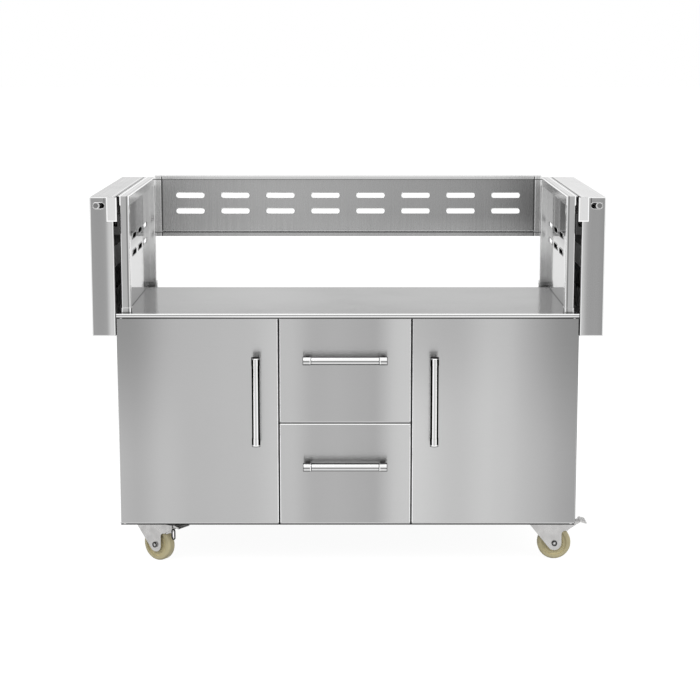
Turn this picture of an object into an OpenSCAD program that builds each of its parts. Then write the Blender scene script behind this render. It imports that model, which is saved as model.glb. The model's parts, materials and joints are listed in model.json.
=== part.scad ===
// Stainless grill cart: a cabinet on casters with two doors, two drawers, a raised frame for a
// built-in grill head and two side shelves that hang folded and swing up.
// Front is -Y, up is +Z, the floor is z = 0.

/* [Cabinet] */
// Width of the cabinet
cab_w = 1076; // [980:2:1180]
// Depth from the front of the doors to the back panel
body_depth = 600; // [560:5:660]
// Height of the cabinet's underside above the floor
caster_h = 103; // [100:1:110]
// Height of the deck above the cabinet's underside
deck_rise = 497; // [460:1:540]
// Height of the front rim above the deck
rim_rise = 8; // [5:0.5:14]
// Depth of the front rim
rim_d = 12; // [11:0.5:16]
// Depth of the lower channel along the back of the deck
channel_d = 92; // [70:1:160]
// Drop of the rear channel below the deck
deck_drop = 12; // [8:1:18]
// Width from gap to gap of the drawer bay
bay_w = 310.6; // [280:0.2:360]
// Sideways offset of the drawer bay from the middle of the cabinet
bay_shift = -6; // [-20:1:20]
// Distance of the front edge of the base behind the door fronts
base_set = 2; // [1:0.5:5]
// Width of the flanges along the front of the side panels
side_flange_w = 25; // [15:1:40]
// Height of the upturned edges of the base
base_edge_h = 22; // [12:1:40]
// Height of the deck braces
brace_h = 20; // [12:1:30]
// Width of a deck brace
brace_w = 50; // [35:1:70]
// Width of a brace's side flanges
brace_foot = 12; // [8:1:16]

/* [Doors and drawers] */
// Thickness of doors and drawer fronts
door_t = 17; // [15:0.5:18]
// Gap between the doors and the cabinet's front edges
door_back_gap = 5; // [4:0.5:8]
// Visible gap between neighbouring fronts
front_gap = 3; // [2:0.5:5]
// Gap above and below the fronts
end_gap = 2; // [1.5:0.5:4]
// Radius of the bent edges of the fronts
door_edge_r = 2.5; // [1.5:0.5:4]
// Height of the middle of the gap between the drawers above the base
drawer_split = 246; // [200:1:290]
// Distance of the door pivots from the cabinet's outer edge
pivot_in = 10; // [9:0.5:12]
// Distance of the door pivots behind the door front
pivot_back = 8; // [7:0.5:8.5]
// Radius of the door pivot pins
pivot_r = 3; // [2:0.5:4]
// Height of the drawer boxes
box_h = 150; // [90:1:190]
// Depth of the drawer boxes
box_d = 530; // [400:5:540]
// Height of a drawer box above the bottom edge of its front
box_up = 40; // [20:1:60]
// Length of the drawer slides
slide_len = 500; // [380:5:520]
// Width of a drawer slide between the cabinet and the box
slide_w = 12.7; // [12:0.1:16]
// Height of the fixed part of a drawer slide
slide_h = 45; // [35:1:52]

/* [Handles] */
// Radius of a handle bar
bar_r = 9.4; // [7:0.1:12]
// Length of the door handles
door_bar_len = 210; // [150:1:300]
// Length of the drawer handles
drawer_bar_len = 196; // [120:1:240]
// Reach of the handles in front of the fronts
handle_reach = 45; // [38:1:60]
// Length of the sleeves at the ends of a bar
sleeve_len = 19; // [12:1:26]
// Thickness of the sleeves
sleeve_t = 0.6; // [0.3:0.1:1.5]
// Radius of the handle posts
post_r = 7; // [5:0.1:9]
// Distance of a door handle's axis from the door's inner edge
door_bar_in = 50.5; // [40:0.5:90]
// Distance of a door handle's upper end below the door's top
door_bar_drop = 85; // [50:1:150]
// Distance of the upper drawer's handle axis below the top of its front
upper_bar_drop = 93; // [60:1:120]
// Distance of the lower drawer's handle axis below the top of its front
lower_bar_drop = 96; // [60:1:120]

/* [Upper frame] */
// Height of the frame above the deck
frame_rise = 280; // [220:1:320]
// Width of the frame across its posts
frame_w = 1055; // [960:1:1160]
// Side of the square frame tube
tube = 22; // [18:1:24]
// Radius of the tube's corners
tube_r = 2.5; // [1.5:0.5:4]
// Wall of the frame tube
tube_wall = 1.5; // [1.2:0.1:2]
// Distance of the front posts behind the door fronts
frame_set = 20; // [12:1:30]
// Width of the lip along the outside of the top rails
rail_lip = 4.8; // [2:0.1:5]
// Height of the sockets around the feet of the posts
socket_h = 19; // [12:1:30]
// Wall of the post sockets
socket_wall = 1.5; // [1:0.1:2.5]
// Height of the step around the feet of the sockets
socket_foot_h = 11.4; // [6:0.1:12]
// Width of that step
socket_foot_w = 1; // [0.5:0.1:2]
// Distance of the side vent panels inside the outer face of the posts
vent_in = 3.8; // [3:0.1:12]
// Height of the rear vent panel
rear_vent_h = 158.5; // [130:0.5:200]
// Height of that panel's top above the rails
rear_rise = 5; // [0:0.5:8]
// Depth of the rear vent panel
rear_vent_d = 14; // [10:1:20]
// Width of the strip along the rear vent panel's top
strip_top = 10; // [8:1:20]
// Width of the strip along the rear vent panel's bottom
strip_bottom = 10; // [8:1:20]
// Width of the strips along the rear vent panel's ends
strip_end = 18; // [10:1:30]

/* [Vent slots] */
// Length of a slot
slot_len = 75; // [40:1:85]
// Height of a slot
slot_h = 13.5; // [8:0.5:18]
// Distance from slot to slot
slot_pitch = 118.2; // [100:0.2:124]
// Distance from the upper to the lower row
row_pitch = 41; // [28:1:50]
// Number of slots in a row of the rear panel
rear_cols = 8; // [2:1:8]
// Number of slots in a row of a side panel
side_cols = 4; // [2:1:4]
// Distance of the upper row below the top of the rear panel
rear_row_drop = 52.5; // [45:0.5:65]
// Distance of the upper row below the top of the side frames
side_row_drop = 115; // [80:1:150]
// Number of slots in each row of the cabinet's back panel
back_cols = 3; // [1:1:3]
// Distance of the back panel's slots below its top edge
back_row_drop = 70; // [50:1:160]

/* [Side shelves] */
// Thickness of a shelf
shelf_t = 54; // [50:1:58]
// Width of a shelf, which is its height when it hangs
shelf_w = 325; // [240:1:340]
// Gap between a hanging shelf and the cabinet
shelf_gap = 2.5; // [2:0.1:4]
// Distance of a shelf's ends inside the ends of the cart
shelf_set = 2.5; // [2.3:0.1:6]
// Reach of the shelf's near flange towards the top rail
near_flange = 6.3; // [5:0.1:6.5]
// Distance of the pivot from the shelf's work surface
pivot_depth = 14.5; // [13.5:0.1:16]
// Distance of the pivot from the shelf's near end
pivot_end = 20.5; // [19:0.1:21]
// Radius of the slot that the pivot bush runs in
shelf_slot_r = 7; // [6:0.1:8]
// Travel of a shelf along its slot
shelf_lift = 13; // [8:0.5:14]
// Radius of the shelf pivot pins
shelf_pin_r = 4; // [3:0.5:4.5]
// Width of the cover plate beside each shelf end
cover_w = 23.8; // [20:0.2:28]
// Height of the cover plate
cover_h = 57; // [50:1:62]
// Thickness of the brackets
bracket_t = 3; // [2:0.5:4]
// Radius of a shelf's bent long edges
shelf_r = 2.5; // [1.5:0.5:4]
// Width of the flange that is folded in along a shelf's open edges
hem_w = 12; // [8:1:18]
// Height of the ribs under a shelf
rib_h = 12; // [8:1:16]
// Width of the ribs under a shelf
rib_w = 44; // [30:1:60]

/* [Casters] */
// Radius of a wheel
wheel_r = 40; // [38:0.5:41]
// Width of a wheel
wheel_w = 22; // [20:0.5:26]
// Radius of the tread's edges
tread_r = 5; // [3:0.5:8]
// Distance from the swivel axis to the axle
trail = 24; // [18:0.5:25]
// Distance of a swivel axis from the cabinet's side
caster_in_x = 65; // [60:1:90]
// Distance of a swivel axis from the front or the back of the cart
caster_in_y = 80; // [74:1:95]
// Thickness of the fork's plates
fork_t = 2.5; // [2:0.1:3]
// Radius of the fork's axle bosses
boss_r = 17; // [12:0.5:18]
// Radius of the fork's crown
crown_r = 29; // [25:0.5:31]
// Reach of the fork behind the swivel axis
fork_back = 42; // [34:0.5:46]
// Reach of the fork in front of the swivel axis
fork_front = 76; // [70:0.5:80]
// Reach of the brake pedal from the swivel axis
pedal_reach = 101; // [90:1:104]
// Width of the brake pedal's tread plate
pedal_w = 40; // [30:1:44]
// Turn of the front left caster
front_left_angle = -34; // [-90:1:90]
// Turn of the front right caster
front_right_angle = 0; // [-90:1:90]
// Turn of the rear left caster
rear_left_angle = 160; // [90:1:270]
// Turn of the rear right caster
rear_right_angle = 205; // [90:1:270]

/* [Sheet and clearances] */
// Thickness of the cabinet's and shelves' sheet
sheet = 1.2; // [1:0.1:1.4]
// Thickness of the base and the deck
plate_t = 1.5; // [1.3:0.1:1.8]
// Radial clearance of pins and axles in their bores
fit = 0.07; // [0.04:0.01:0.09]
// Clearance between faces that move past each other
slip = 0.4; // [0.3:0.05:0.5]

/* [Hidden] */
$fn = 48;

// Colours of the finishes
brushed = [0.74, 0.75, 0.76];
polished = [0.82, 0.83, 0.84];
zinc = [0.78, 0.79, 0.8];
nylon = [0.70, 0.66, 0.50];
rubber = [0.12, 0.12, 0.12];
blackened = [0.16, 0.16, 0.17];

// Overrun of every cut
over = 1;

// Front and back planes
y_door = (handle_reach - body_depth) / 2;
y_rear = y_door + body_depth;
y_body = y_door + door_t + door_back_gap;
y_mid = (y_door + y_rear) / 2;

// Levels of the cabinet
z_base = caster_h;
z_floor = z_base + plate_t;
z_deck = z_base + deck_rise;
z_deck_under = z_deck - plate_t;
z_channel = z_deck - deck_drop;
z_channel_under = z_channel - plate_t;
z_rim = z_deck + rim_rise;
z_front_low = z_floor + end_gap;
z_front_top = z_deck_under - end_gap;
z_split = z_base + drawer_split;
z_top = z_deck + frame_rise;
y_step = y_rear - channel_d;

// Widths of the cabinet
cab_half = cab_w / 2;
side_out = cab_half - plate_t;
bay_half = bay_w / 2;
web_half = sheet / 2;

// Upper frame
post_out = frame_w / 2;
post_in = post_out - tube;
y_post = y_door + frame_set;
z_rail = z_top - tube;
vent_x = post_out - vent_in - sheet;
socket_gap = 0.1;
socket_out = socket_wall + socket_gap;
foot_out = socket_out + socket_foot_w;
z_rear_top = z_top + rear_rise;

// Shelves, as they hang on the right side
shelf_in = cab_half + shelf_gap;
shelf_out = shelf_in + shelf_t;
z_shelf_low = z_top - shelf_w;
y_shelf = y_door + shelf_set;
shelf_len = body_depth - shelf_set * 2;
pivot_x = shelf_out - pivot_depth;
pivot_z = z_top - pivot_end;
bush_r = shelf_slot_r - fit;

// Brackets of the shelves
bush_lip = 0.9;
cover_t = 1.5;
pad_t = 4;
arm_high = 18;
arm_drop = 49;
arm_low = pivot_z - arm_drop - arm_high;
arm_top = arm_low + arm_high;
pad_top = pivot_z - pivot_end;
y_arm = y_shelf + sheet + slip * 2 + bush_lip;
x_pad = post_out + pad_t;
arm_end_r = 9;
arm_x = shelf_out - pivot_depth - pivot_end + sheet + slip * 2;
elbow_drop = 41;
lip_over = 1.6;
pin_cap_t = 1;
bumper_r = 5;
bumper_up = 22;

// Ribs of a shelf, as shares of the shelf's width from its lower end
rib_shares = [0.27, 0.6];

// Screws, and the radius of their domed heads
screw_head_r = 4.6;
screw_head_t = 2;
dome_r = (screw_head_r * screw_head_r + screw_head_t * screw_head_t) / screw_head_t / 2;

// Places of the deck braces, as shares of the deck's depth
brace_shares = [0.3, 0.7];

// Drawer slides
slide_wall = 1.2;
slide_set = 3;
middle_gap = 0.6;
outer_flange = 8;
middle_drop = 1.8;
inner_drop = 9.5;

// Drawer boxes
box_sheet = 1;
box_half = bay_half - web_half - slide_w;
box_hem = 3;
box_hem_h = 8;

// Door pivots, catches and liners
doubler_t = 3;
doubler_w = 24;
washer_r = 5.5;
press_in = 34;
press_d = 2.5;
catch_h = 14;
catch_down = 24;

// Casters
axle_z = wheel_r;
fork_gap = 3;
fork_in = wheel_w / 2 + fork_gap;
hub_r = 13;
rim_in = 10;
web_cut = 3;
axle_r = 6;
bolt_r = 4;
bolt_head_r = 6.4;
bolt_head_t = 3.2;
socket_r = 3.4;
socket_deep = 2;
plate_len = 95;
plate_wid = 67;
caster_plate_t = 2.5;
hole_x = 75;
hole_y = 45;
hole_slack = 0.2;
race_r = 26;
race_t = 4;
king_r = 5;
king_head_r = 9;
king_head_t = 4;
z_race = z_base - caster_plate_t - race_t;
crown_top = z_race - slip;
crown_t = 6;
crown_low = crown_top - crown_t;
crown_step = 2;
fork_top = crown_top - crown_step;
notch_z = 71;
notch_r = 9;
arm_u = 53;
arm_tip_z = 86;
crown_plate_u = 33;
button_h = 4.2;
nut_h = 6.5;
nut_r = 7.5;

// Brake pedal's pivot, measured from the swivel axis and from the top of the fork
brake_u = 46;
brake_down = 9;
brake_z = fork_top - brake_down;
brake_r = 3;
brake_gap = 1;
brake_half = fork_in - brake_gap;
brake_len = pedal_reach - brake_u;
brake_high = 28;

// Outline of the brake's lever about its pivot, as shares of its length and height:
// heel, top edge, neck, underside, and the shoe above the wheel
lever_shares = [[-0.13, -0.107], [-0.13, 0.143], [0.15, 0.25], [0.5, 0.22], [0.68, 0.34],
    [0.75, 0.34], [0.75, 0.25], [0.6, 0.06], [0.27, 0.05], [0.201, -0.555], [0.1245, -0.463],
    [0.07, -0.107]];

// Outline of its tread plate, and the places of the ribs across it
tread_shares = [[0.67, 0.31], [0.7, 0.43], [0.98, 0.28], [1, 0.2], [0.97, 0.15], [0.7, 0.3]];
ridge_shares = [[0.76, 0.398], [0.84, 0.355], [0.92, 0.312]];
ridge_r = 1;

// Building helpers

module block(a, b) {
    translate(a) cube(b - a);
}

module on_side(s) {
    if (s < 0) mirror([1, 0, 0]) children();
    else children();
}

module both_ends_y() {
    children();
    translate([0, y_mid * 2, 0]) mirror([0, 1, 0]) children();
}

// Pulls a shape drawn in x and z along y
module along_y(from, to) {
    translate([0, to, 0]) rotate([90, 0, 0]) linear_extrude(to - from) children();
}

// Pulls a shape drawn in y and z along x
module along_x(from, to) {
    translate([from, 0, 0]) rotate([90, 0, 90]) linear_extrude(to - from) children();
}

module slot_2d(length, height) {
    square([length - height, height], center = true);
    for (s = [-1, 1]) translate([s * (length - height) / 2, 0]) circle(height / 2);
}

module slot_row(cols) {
    for (i = [0 : cols - 1])
        translate([(i - (cols - 1) / 2) * slot_pitch, 0]) slot_2d(slot_len, slot_h);
}

// Rectangle from a to b whose two corners at the low-y side are rounded
module front_rounded(a, b, r) {
    difference() {
        translate(a) square(b - a);
        translate(a - [over, over]) square([r + over, r + over]);
        translate([b[0] - r, a[1] - over]) square([r + over, r + over]);
    }
    for (x = [a[0] + r, b[0] - r]) translate([x, a[1] + r]) circle(r);
}

// Rectangle from a to b with four rounded corners
module rounded(a, b, r) {
    translate([a[0] + r, a[1]]) square([b[0] - a[0] - r * 2, b[1] - a[1]]);
    translate([a[0], a[1] + r]) square([b[0] - a[0], b[1] - a[1] - r * 2]);
    for (x = [a[0] + r, b[0] - r], y = [a[1] + r, b[1] - r]) translate([x, y]) circle(r);
}

// Cabinet

module caster_spots() {
    for (sx = [-1, 1], y = [y_door + caster_in_y, y_rear - caster_in_y])
        translate([sx * (cab_half - caster_in_x), y, 0]) children();
}

module bolt_spots() {
    for (sx = [-1, 1], sy = [-1, 1])
        translate([sx * hole_x / 2, sy * hole_y / 2, 0]) children();
}

module base_pan() color(brushed) difference() {
    union() {
        block([-side_out, y_door + base_set, z_base], [side_out, y_rear - sheet, z_floor]);
        for (s = [-1, 1]) on_side(s)
            block([side_out - sheet - plate_t, y_body + sheet, z_base],
                [side_out - sheet, y_rear - sheet * 2, z_floor + base_edge_h]);
        block([-side_out + side_flange_w, y_rear - sheet - plate_t, z_base],
            [side_out - side_flange_w, y_rear - sheet, z_floor + base_edge_h]);
    }
    caster_spots() bolt_spots() translate([0, 0, z_base - over])
        cylinder(r = bolt_r + hole_slack, h = plate_t + over * 2);
}

module side_panel(s) color(brushed) on_side(s) difference() {
    union() {
        block([side_out - sheet, y_body, z_floor], [side_out, y_rear - sheet, z_deck_under]);
        block([side_out - side_flange_w, y_body, z_floor],
            [side_out, y_body + sheet, z_deck_under]);
        block([side_out - side_flange_w, y_rear - sheet * 2, z_floor],
            [side_out, y_rear - sheet, z_deck_under]);
    }
    block([0, y_step - plate_t, z_channel_under], [cab_half, y_rear + over, z_deck]);
}

module cabinet_back_panel() color(brushed) difference() {
    union() {
        block([-side_out, y_rear - sheet, z_base], [side_out, y_rear, z_channel_under]);
        block([-side_out + side_flange_w, y_rear - side_flange_w, z_channel_under - sheet],
            [side_out - side_flange_w, y_rear, z_channel_under]);
    }
    for (sx = [-1, 1], row = [0, 1])
        translate([sx * (bay_half + side_out) / 2, 0, z_channel - back_row_drop - row * row_pitch])
            along_y(y_rear - sheet - over, y_rear + over) slot_row(back_cols);
    for (s = [-1, 1]) on_side(s)
        block([bay_half + s * bay_shift - web_half, y_rear - side_flange_w - over,
            z_channel_under - sheet - over],
            [bay_half + s * bay_shift + web_half, y_rear - sheet, z_channel_under + over]);
}

// The deck's outline in y and z: a hollow rim, the deck, and the lower channel behind it
module deck_profile() {
    difference() {
        translate([y_door, z_deck_under]) square([rim_d, z_rim - z_deck_under]);
        translate([y_door + plate_t, z_deck])
            square([rim_d - plate_t * 2, z_rim - z_deck - plate_t]);
    }
    translate([y_door, z_deck_under]) square([y_step - y_door, plate_t]);
    translate([y_step - plate_t, z_channel_under]) square([plate_t, z_deck - z_channel_under]);
    translate([y_step - plate_t, z_channel_under]) square([y_rear - y_step + plate_t, plate_t]);
}

module deck_pan() color(polished) {
    along_x(-cab_half, cab_half) deck_profile();
    for (s = [-1, 1]) on_side(s) {
        block([side_out, y_body, z_channel_under], [cab_half, y_rear, z_deck]);
        block([side_out, y_door, z_deck_under], [cab_half, y_door + rim_d, z_rim]);
    }
}

// A hat channel under the deck, drawn across the cart
module deck_braces() color(brushed) for (s = [-1, 1]) on_side(s)
    for (share = brace_shares)
        translate([0, y_body + (y_step - y_body) * share, 0])
            along_x(bay_half + s * bay_shift + web_half, side_out - sheet) difference() {
                translate([-brace_w / 2, z_deck_under - brace_h]) square([brace_w, brace_h]);
                translate([-brace_w / 2 + brace_foot + sheet, z_deck_under - brace_h + sheet])
                    square([brace_w - (brace_foot + sheet) * 2, brace_h]);
                for (side = [-1, 1])
                    translate([side * (brace_w + over - brace_foot) / 2 - (brace_foot + over) / 2,
                        z_deck_under - brace_h - over])
                        square([brace_foot + over, brace_h - sheet + over]);
            }

module divider(s) color(brushed) on_side(s) {
    x = bay_half + s * bay_shift;
    difference() {
        union() {
            block([x - web_half, y_body, z_floor], [x + web_half, y_rear - sheet, z_deck_under]);
            block([x - web_half, y_body, z_floor],
                [x + side_flange_w, y_body + sheet, z_deck_under]);
            block([x - web_half, y_body, z_floor],
                [x + side_flange_w, y_rear - side_flange_w, z_floor + sheet]);
        }
        block([0, y_step - plate_t, z_channel_under], [cab_half, y_rear + over, z_deck]);
        block([0, y_rear - sheet - plate_t, z_floor - over],
            [cab_half, y_rear + over, z_floor + base_edge_h]);
    }
}

// Upper frame

module post_square(grow) {
    half = tube / 2 + grow;
    rounded([-half, -half], [half, half], tube_r + grow);
}

module post_sockets() color(brushed) for (s = [-1, 1]) on_side(s) {
    for (spot = [[y_post + tube / 2, z_deck], [y_rear - tube / 2, z_channel]])
        translate([post_in + tube / 2, spot[0], spot[1]]) difference() {
            intersection() {
                union() {
                    linear_extrude(socket_h) post_square(socket_out);
                    linear_extrude(socket_foot_h) post_square(foot_out);
                }
                block([-tube, -tube, 0], [tube, min(tube, y_rear - spot[0]), socket_h]);
            }
            translate([0, 0, -over]) linear_extrude(socket_h + over * 2) post_square(socket_gap);
        }
}

// Two posts and a top rail of square tube; the rail's top runs out into a lip
module side_frame(s) color(brushed) on_side(s) difference() {
    union() {
        for (spot = [[y_post, z_deck], [y_rear - tube, z_channel]])
            translate([0, 0, spot[1]]) linear_extrude(z_top - tube / 2 - spot[1])
                rounded([post_in, spot[0]], [post_out, spot[0] + tube], tube_r);
        along_y(y_post, y_rear) rounded([post_in, z_rail], [post_out, z_top], tube_r);
        block([post_in + tube / 2, y_post, z_top - sheet], [post_out + rail_lip, y_rear, z_top]);
    }
    for (spot = [[y_post, z_deck], [y_rear - tube, z_channel]])
        block([post_in + tube_wall, spot[0] + tube_wall, spot[1] - over],
            [post_out - tube_wall, spot[0] + tube - tube_wall, z_rail - tube_wall]);
    block([post_in + tube_wall, y_post + tube_wall, z_rail + tube_wall],
        [post_out - tube_wall, y_rear - tube_wall, z_top - tube_wall]);
}

module vent_panel(s) color(polished) on_side(s) difference() {
    block([vent_x, y_post + tube, z_deck + slip], [vent_x + sheet, y_rear - tube, z_rail]);
    block([0, y_step - plate_t, z_channel], [cab_half, y_rear, z_deck]);
    for (y = [y_post + tube - over, y_rear - tube - foot_out])
        block([0, y, z_channel], [cab_half, y + foot_out + over, z_deck + socket_h + slip]);
    for (row = [0, 1])
        translate([0, (y_post + y_rear) / 2, z_top - side_row_drop - row * row_pitch])
            along_x(vent_x - over, vent_x + sheet + over) slot_row(side_cols);
}

// A hat-shaped pan: strips around the front, walls going back, and a slotted field
module rear_vent_panel() color(brushed) difference() {
    y0 = y_rear - tube;
    y1 = y0 + rear_vent_d;
    z0 = z_rear_top - rear_vent_h;
    field = [post_in - strip_end, z0 + strip_bottom, z_rear_top - strip_top];
    block([-post_in, y0, z0], [post_in, y1, z_rear_top]);
    block([-field[0], y0 - over, field[1]], [field[0], y1 - sheet, field[2]]);
    difference() {
        block([-post_in + sheet, y0 + sheet, z0 + sheet],
            [post_in - sheet, y1 + over, z_rear_top - sheet]);
        block([-field[0] - sheet, y0, field[1] - sheet],
            [field[0] + sheet, y1 + over, field[2] + sheet]);
    }
    for (row = [0, 1]) translate([0, 0, z_rear_top - rear_row_drop - row * row_pitch])
        along_y(y1 - sheet - over, y1 + over) slot_row(rear_cols);
}

module button_head() {
    rotate_extrude() intersection() {
        square([screw_head_r, screw_head_t]);
        translate([0, screw_head_t - dome_r]) circle(dome_r);
    }
}

// Screws that hold the brackets to the posts
module frame_screws() color(polished) for (s = [-1, 1]) on_side(s) both_ends_y()
    for (z = [arm_low + arm_high / 2, pad_top - arm_high / 2])
        translate([x_pad, y_post + tube / 2, z]) rotate([0, 90, 0]) button_head();

// Shelf brackets: a pad on the post and an arm inside the shelf

module bracket_arm_2d() {
    polygon([
        [post_out, arm_low],
        [pivot_x, arm_low],
        [pivot_x + arm_end_r, arm_top],
        [pivot_x + arm_end_r, pivot_z],
        [pivot_x - arm_end_r, pivot_z],
        [arm_x, pivot_z - elbow_drop],
        [arm_x, arm_top],
        [post_out, arm_top]
    ]);
    translate([pivot_x, pivot_z]) circle(arm_end_r);
}

module shelf_brackets(s) color(blackened) on_side(s) both_ends_y() {
    block([post_out, y_arm, arm_low], [x_pad, y_post + tube, pad_top]);
    along_y(y_arm, y_arm + bracket_t) bracket_arm_2d();
}

// Plates in front of the brackets, each with a tab that is folded back onto the pad
module shelf_cover_plates() color(polished) for (s = [-1, 1]) on_side(s) both_ends_y() {
    block([x_pad, y_door, z_top - cover_h], [x_pad + cover_w, y_door + cover_t, z_top - sheet]);
    block([x_pad, y_door, z_top - cover_h], [x_pad + cover_t, y_post, pad_top]);
}

module pin_spot() {
    translate([pivot_x, y_shelf, pivot_z]) rotate([-90, 0, 0]) children();
}

// Welded to the arm and capped in front of the bush
module shelf_pivot_pins() color(polished) for (s = [-1, 1]) on_side(s) both_ends_y() pin_spot() {
    translate([0, 0, -slip * 2]) cylinder(r = shelf_pin_r, h = sheet + bush_lip + slip * 4);
    translate([0, 0, -slip * 2 - pin_cap_t]) cylinder(r = shelf_pin_r + lip_over, h = pin_cap_t);
}

module shelf_bushes(s) color(polished) on_side(s) both_ends_y() pin_spot() difference() {
    union() {
        translate([0, 0, -slip]) cylinder(r = bush_r, h = sheet + slip * 2);
        translate([0, 0, sheet + slip]) cylinder(r = shelf_slot_r + lip_over, h = bush_lip);
    }
    translate([0, 0, -over]) cylinder(r = shelf_pin_r + fit, h = sheet + bush_lip + over * 3);
}

module shelf_bumpers() color(rubber) for (s = [-1, 1]) on_side(s) both_ends_y()
    translate([side_out, y_body + bumper_r, z_shelf_low + bumper_up]) rotate([0, 90, 0])
        cylinder(r = bumper_r, h = shelf_in - side_out - slip);

// Side shelf: a pressed tray, hanging with its work surface outwards

module shelf_slot_2d() {
    translate([pivot_x, pivot_z]) circle(shelf_slot_r);
    translate([pivot_x - shelf_lift, pivot_z]) circle(shelf_slot_r);
    translate([pivot_x - shelf_lift, pivot_z - shelf_slot_r])
        square([shelf_lift, shelf_slot_r * 2]);
    translate([pivot_x - shelf_lift - shelf_slot_r, pivot_z])
        square([sheet, pivot_end - sheet * 2]);
}

module shelf(s) color(brushed) on_side(s) {
    y0 = y_shelf;
    y1 = y_shelf + shelf_len;
    hem_top = arm_low - hem_w;
    difference() {
        union() {
            along_y(y0, y1) rounded([shelf_in, z_shelf_low], [shelf_out, z_top], shelf_r);
            block([shelf_in, y0, z_shelf_low], [shelf_in + shelf_r, y1, z_top]);
            block([shelf_in - near_flange, y0, z_top - sheet], [shelf_in + shelf_r, y1, z_top]);
        }
        difference() {
            block([shelf_in - over, y0 + sheet, z_shelf_low + sheet],
                [shelf_out - sheet, y1 - sheet, z_top - sheet]);
            difference() {
                block([shelf_in, y0, z_shelf_low], [shelf_in + sheet, y1, hem_top]);
                block([shelf_in - over, y0 + hem_w, z_shelf_low + hem_w],
                    [shelf_out, y1 - hem_w, z_top]);
            }
        }
        both_ends_y() along_y(y0 - over, y0 + sheet + over) shelf_slot_2d();
    }
    for (share = rib_shares) translate([shelf_out - sheet, 0, z_shelf_low + shelf_w * share])
        difference() {
            block([-rib_h, y0 + sheet, -rib_w / 2], [0, y1 - sheet, rib_w / 2]);
            block([-rib_h + sheet, y0, -rib_w / 2 + sheet], [over, y1, rib_w / 2 - sheet]);
        }
}

// Doors and drawer fronts

// A pan with bent edges from a to b, open to the back, leaving room for its liner
module front_pan(a, b) {
    difference() {
        translate([0, 0, a[1]]) linear_extrude(b[1] - a[1]) front_rounded(
            [a[0], y_door], [b[0], y_door + door_t - sheet], door_edge_r);
        block([a[0] + sheet, y_door + sheet, a[1] + sheet],
            [b[0] - sheet, y_door + door_t, b[1] - sheet]);
    }
}

// The liner that closes a pan, with its middle pressed in
module front_liner(a, b) {
    y1 = y_door + door_t;
    difference() {
        union() {
            block([a[0], y1 - sheet, a[1]], [b[0], y1, b[1]]);
            block([a[0] + press_in, y1 - press_d - sheet, a[1] + press_in],
                [b[0] - press_in, y1, b[1] - press_in]);
        }
        block([a[0] + press_in + sheet, y1 - press_d, a[1] + press_in + sheet],
            [b[0] - press_in - sheet, y1 + over, b[1] - press_in - sheet]);
    }
}

function door_in(s) = bay_half + s * bay_shift + front_gap / 2;
function pivot_spot() = [cab_half - pivot_in, y_door + pivot_back];

module door_panel(s) color(brushed) on_side(s) difference() {
    p = pivot_spot();
    union() {
        front_pan([door_in(s), z_front_low], [cab_half, z_front_top]);
        for (z = [z_front_low, z_front_top - sheet - doubler_t])
            block([cab_half - sheet - doubler_w, y_door + sheet, z],
                [cab_half - sheet, y_door + door_t - sheet, z + sheet + doubler_t]);
    }
    for (z = [z_front_low - over, z_front_top - sheet - doubler_t - over])
        translate([p[0], p[1], z]) cylinder(r = pivot_r + fit, h = sheet + doubler_t + over * 2);
}

module door_liner(s) color(brushed) on_side(s)
    front_liner([door_in(s), z_front_low], [cab_half, z_front_top]);

// Pins on the base and under the rim, each with its washer
module door_pivot_pins() color(polished) for (s = [-1, 1]) on_side(s) {
    p = pivot_spot();
    reach = end_gap + sheet + doubler_t;
    translate([p[0], p[1], z_floor]) {
        cylinder(r = pivot_r, h = reach);
        cylinder(r = washer_r, h = end_gap - slip);
    }
    translate([p[0], p[1], z_deck_under]) mirror([0, 0, 1]) {
        cylinder(r = pivot_r, h = reach);
        cylinder(r = washer_r, h = end_gap - slip);
    }
}

module door_catches() color(rubber) for (s = [-1, 1]) on_side(s)
    block([door_in(s) + slip, y_door + door_t + slip, z_front_top - catch_down - catch_h],
        [door_in(s) + side_flange_w - front_gap, y_body, z_front_top - catch_down]);

// A bar along z with sleeved ends, centred on its post axis
module handle_bar(length) {
    cylinder(r = bar_r, h = length, center = true);
    for (e = [-1, 1]) {
        translate([0, 0, e * (length - sleeve_len) / 2])
            cylinder(r = bar_r + sleeve_t, h = sleeve_len, center = true);
        translate([0, 0, e * (length - sleeve_len) / 2]) rotate([-90, 0, 0])
            cylinder(r = post_r, h = handle_reach - bar_r - sleeve_t);
    }
}

module door_handle(s) color(polished) on_side(s)
    translate([door_in(s) + door_bar_in, y_door - handle_reach + bar_r + sleeve_t,
        z_front_top - door_bar_drop - door_bar_len / 2]) handle_bar(door_bar_len);

// Heights of the upper and the lower drawer front
function front_low(level) = level > 0 ? z_split + front_gap / 2 : z_front_low;
function front_top(level) = level > 0 ? z_front_top : z_split - front_gap / 2;

module drawer_front(level) color(brushed) translate([bay_shift, 0, 0])
    front_pan([-bay_half + front_gap / 2, front_low(level)],
        [bay_half - front_gap / 2, front_top(level)]);

module drawer_handle(level) color(polished)
    translate([bay_shift, y_door - handle_reach + bar_r + sleeve_t,
        front_top(level) - (level > 0 ? upper_bar_drop : lower_bar_drop)])
        rotate([0, 90, 0]) handle_bar(drawer_bar_len);

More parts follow.
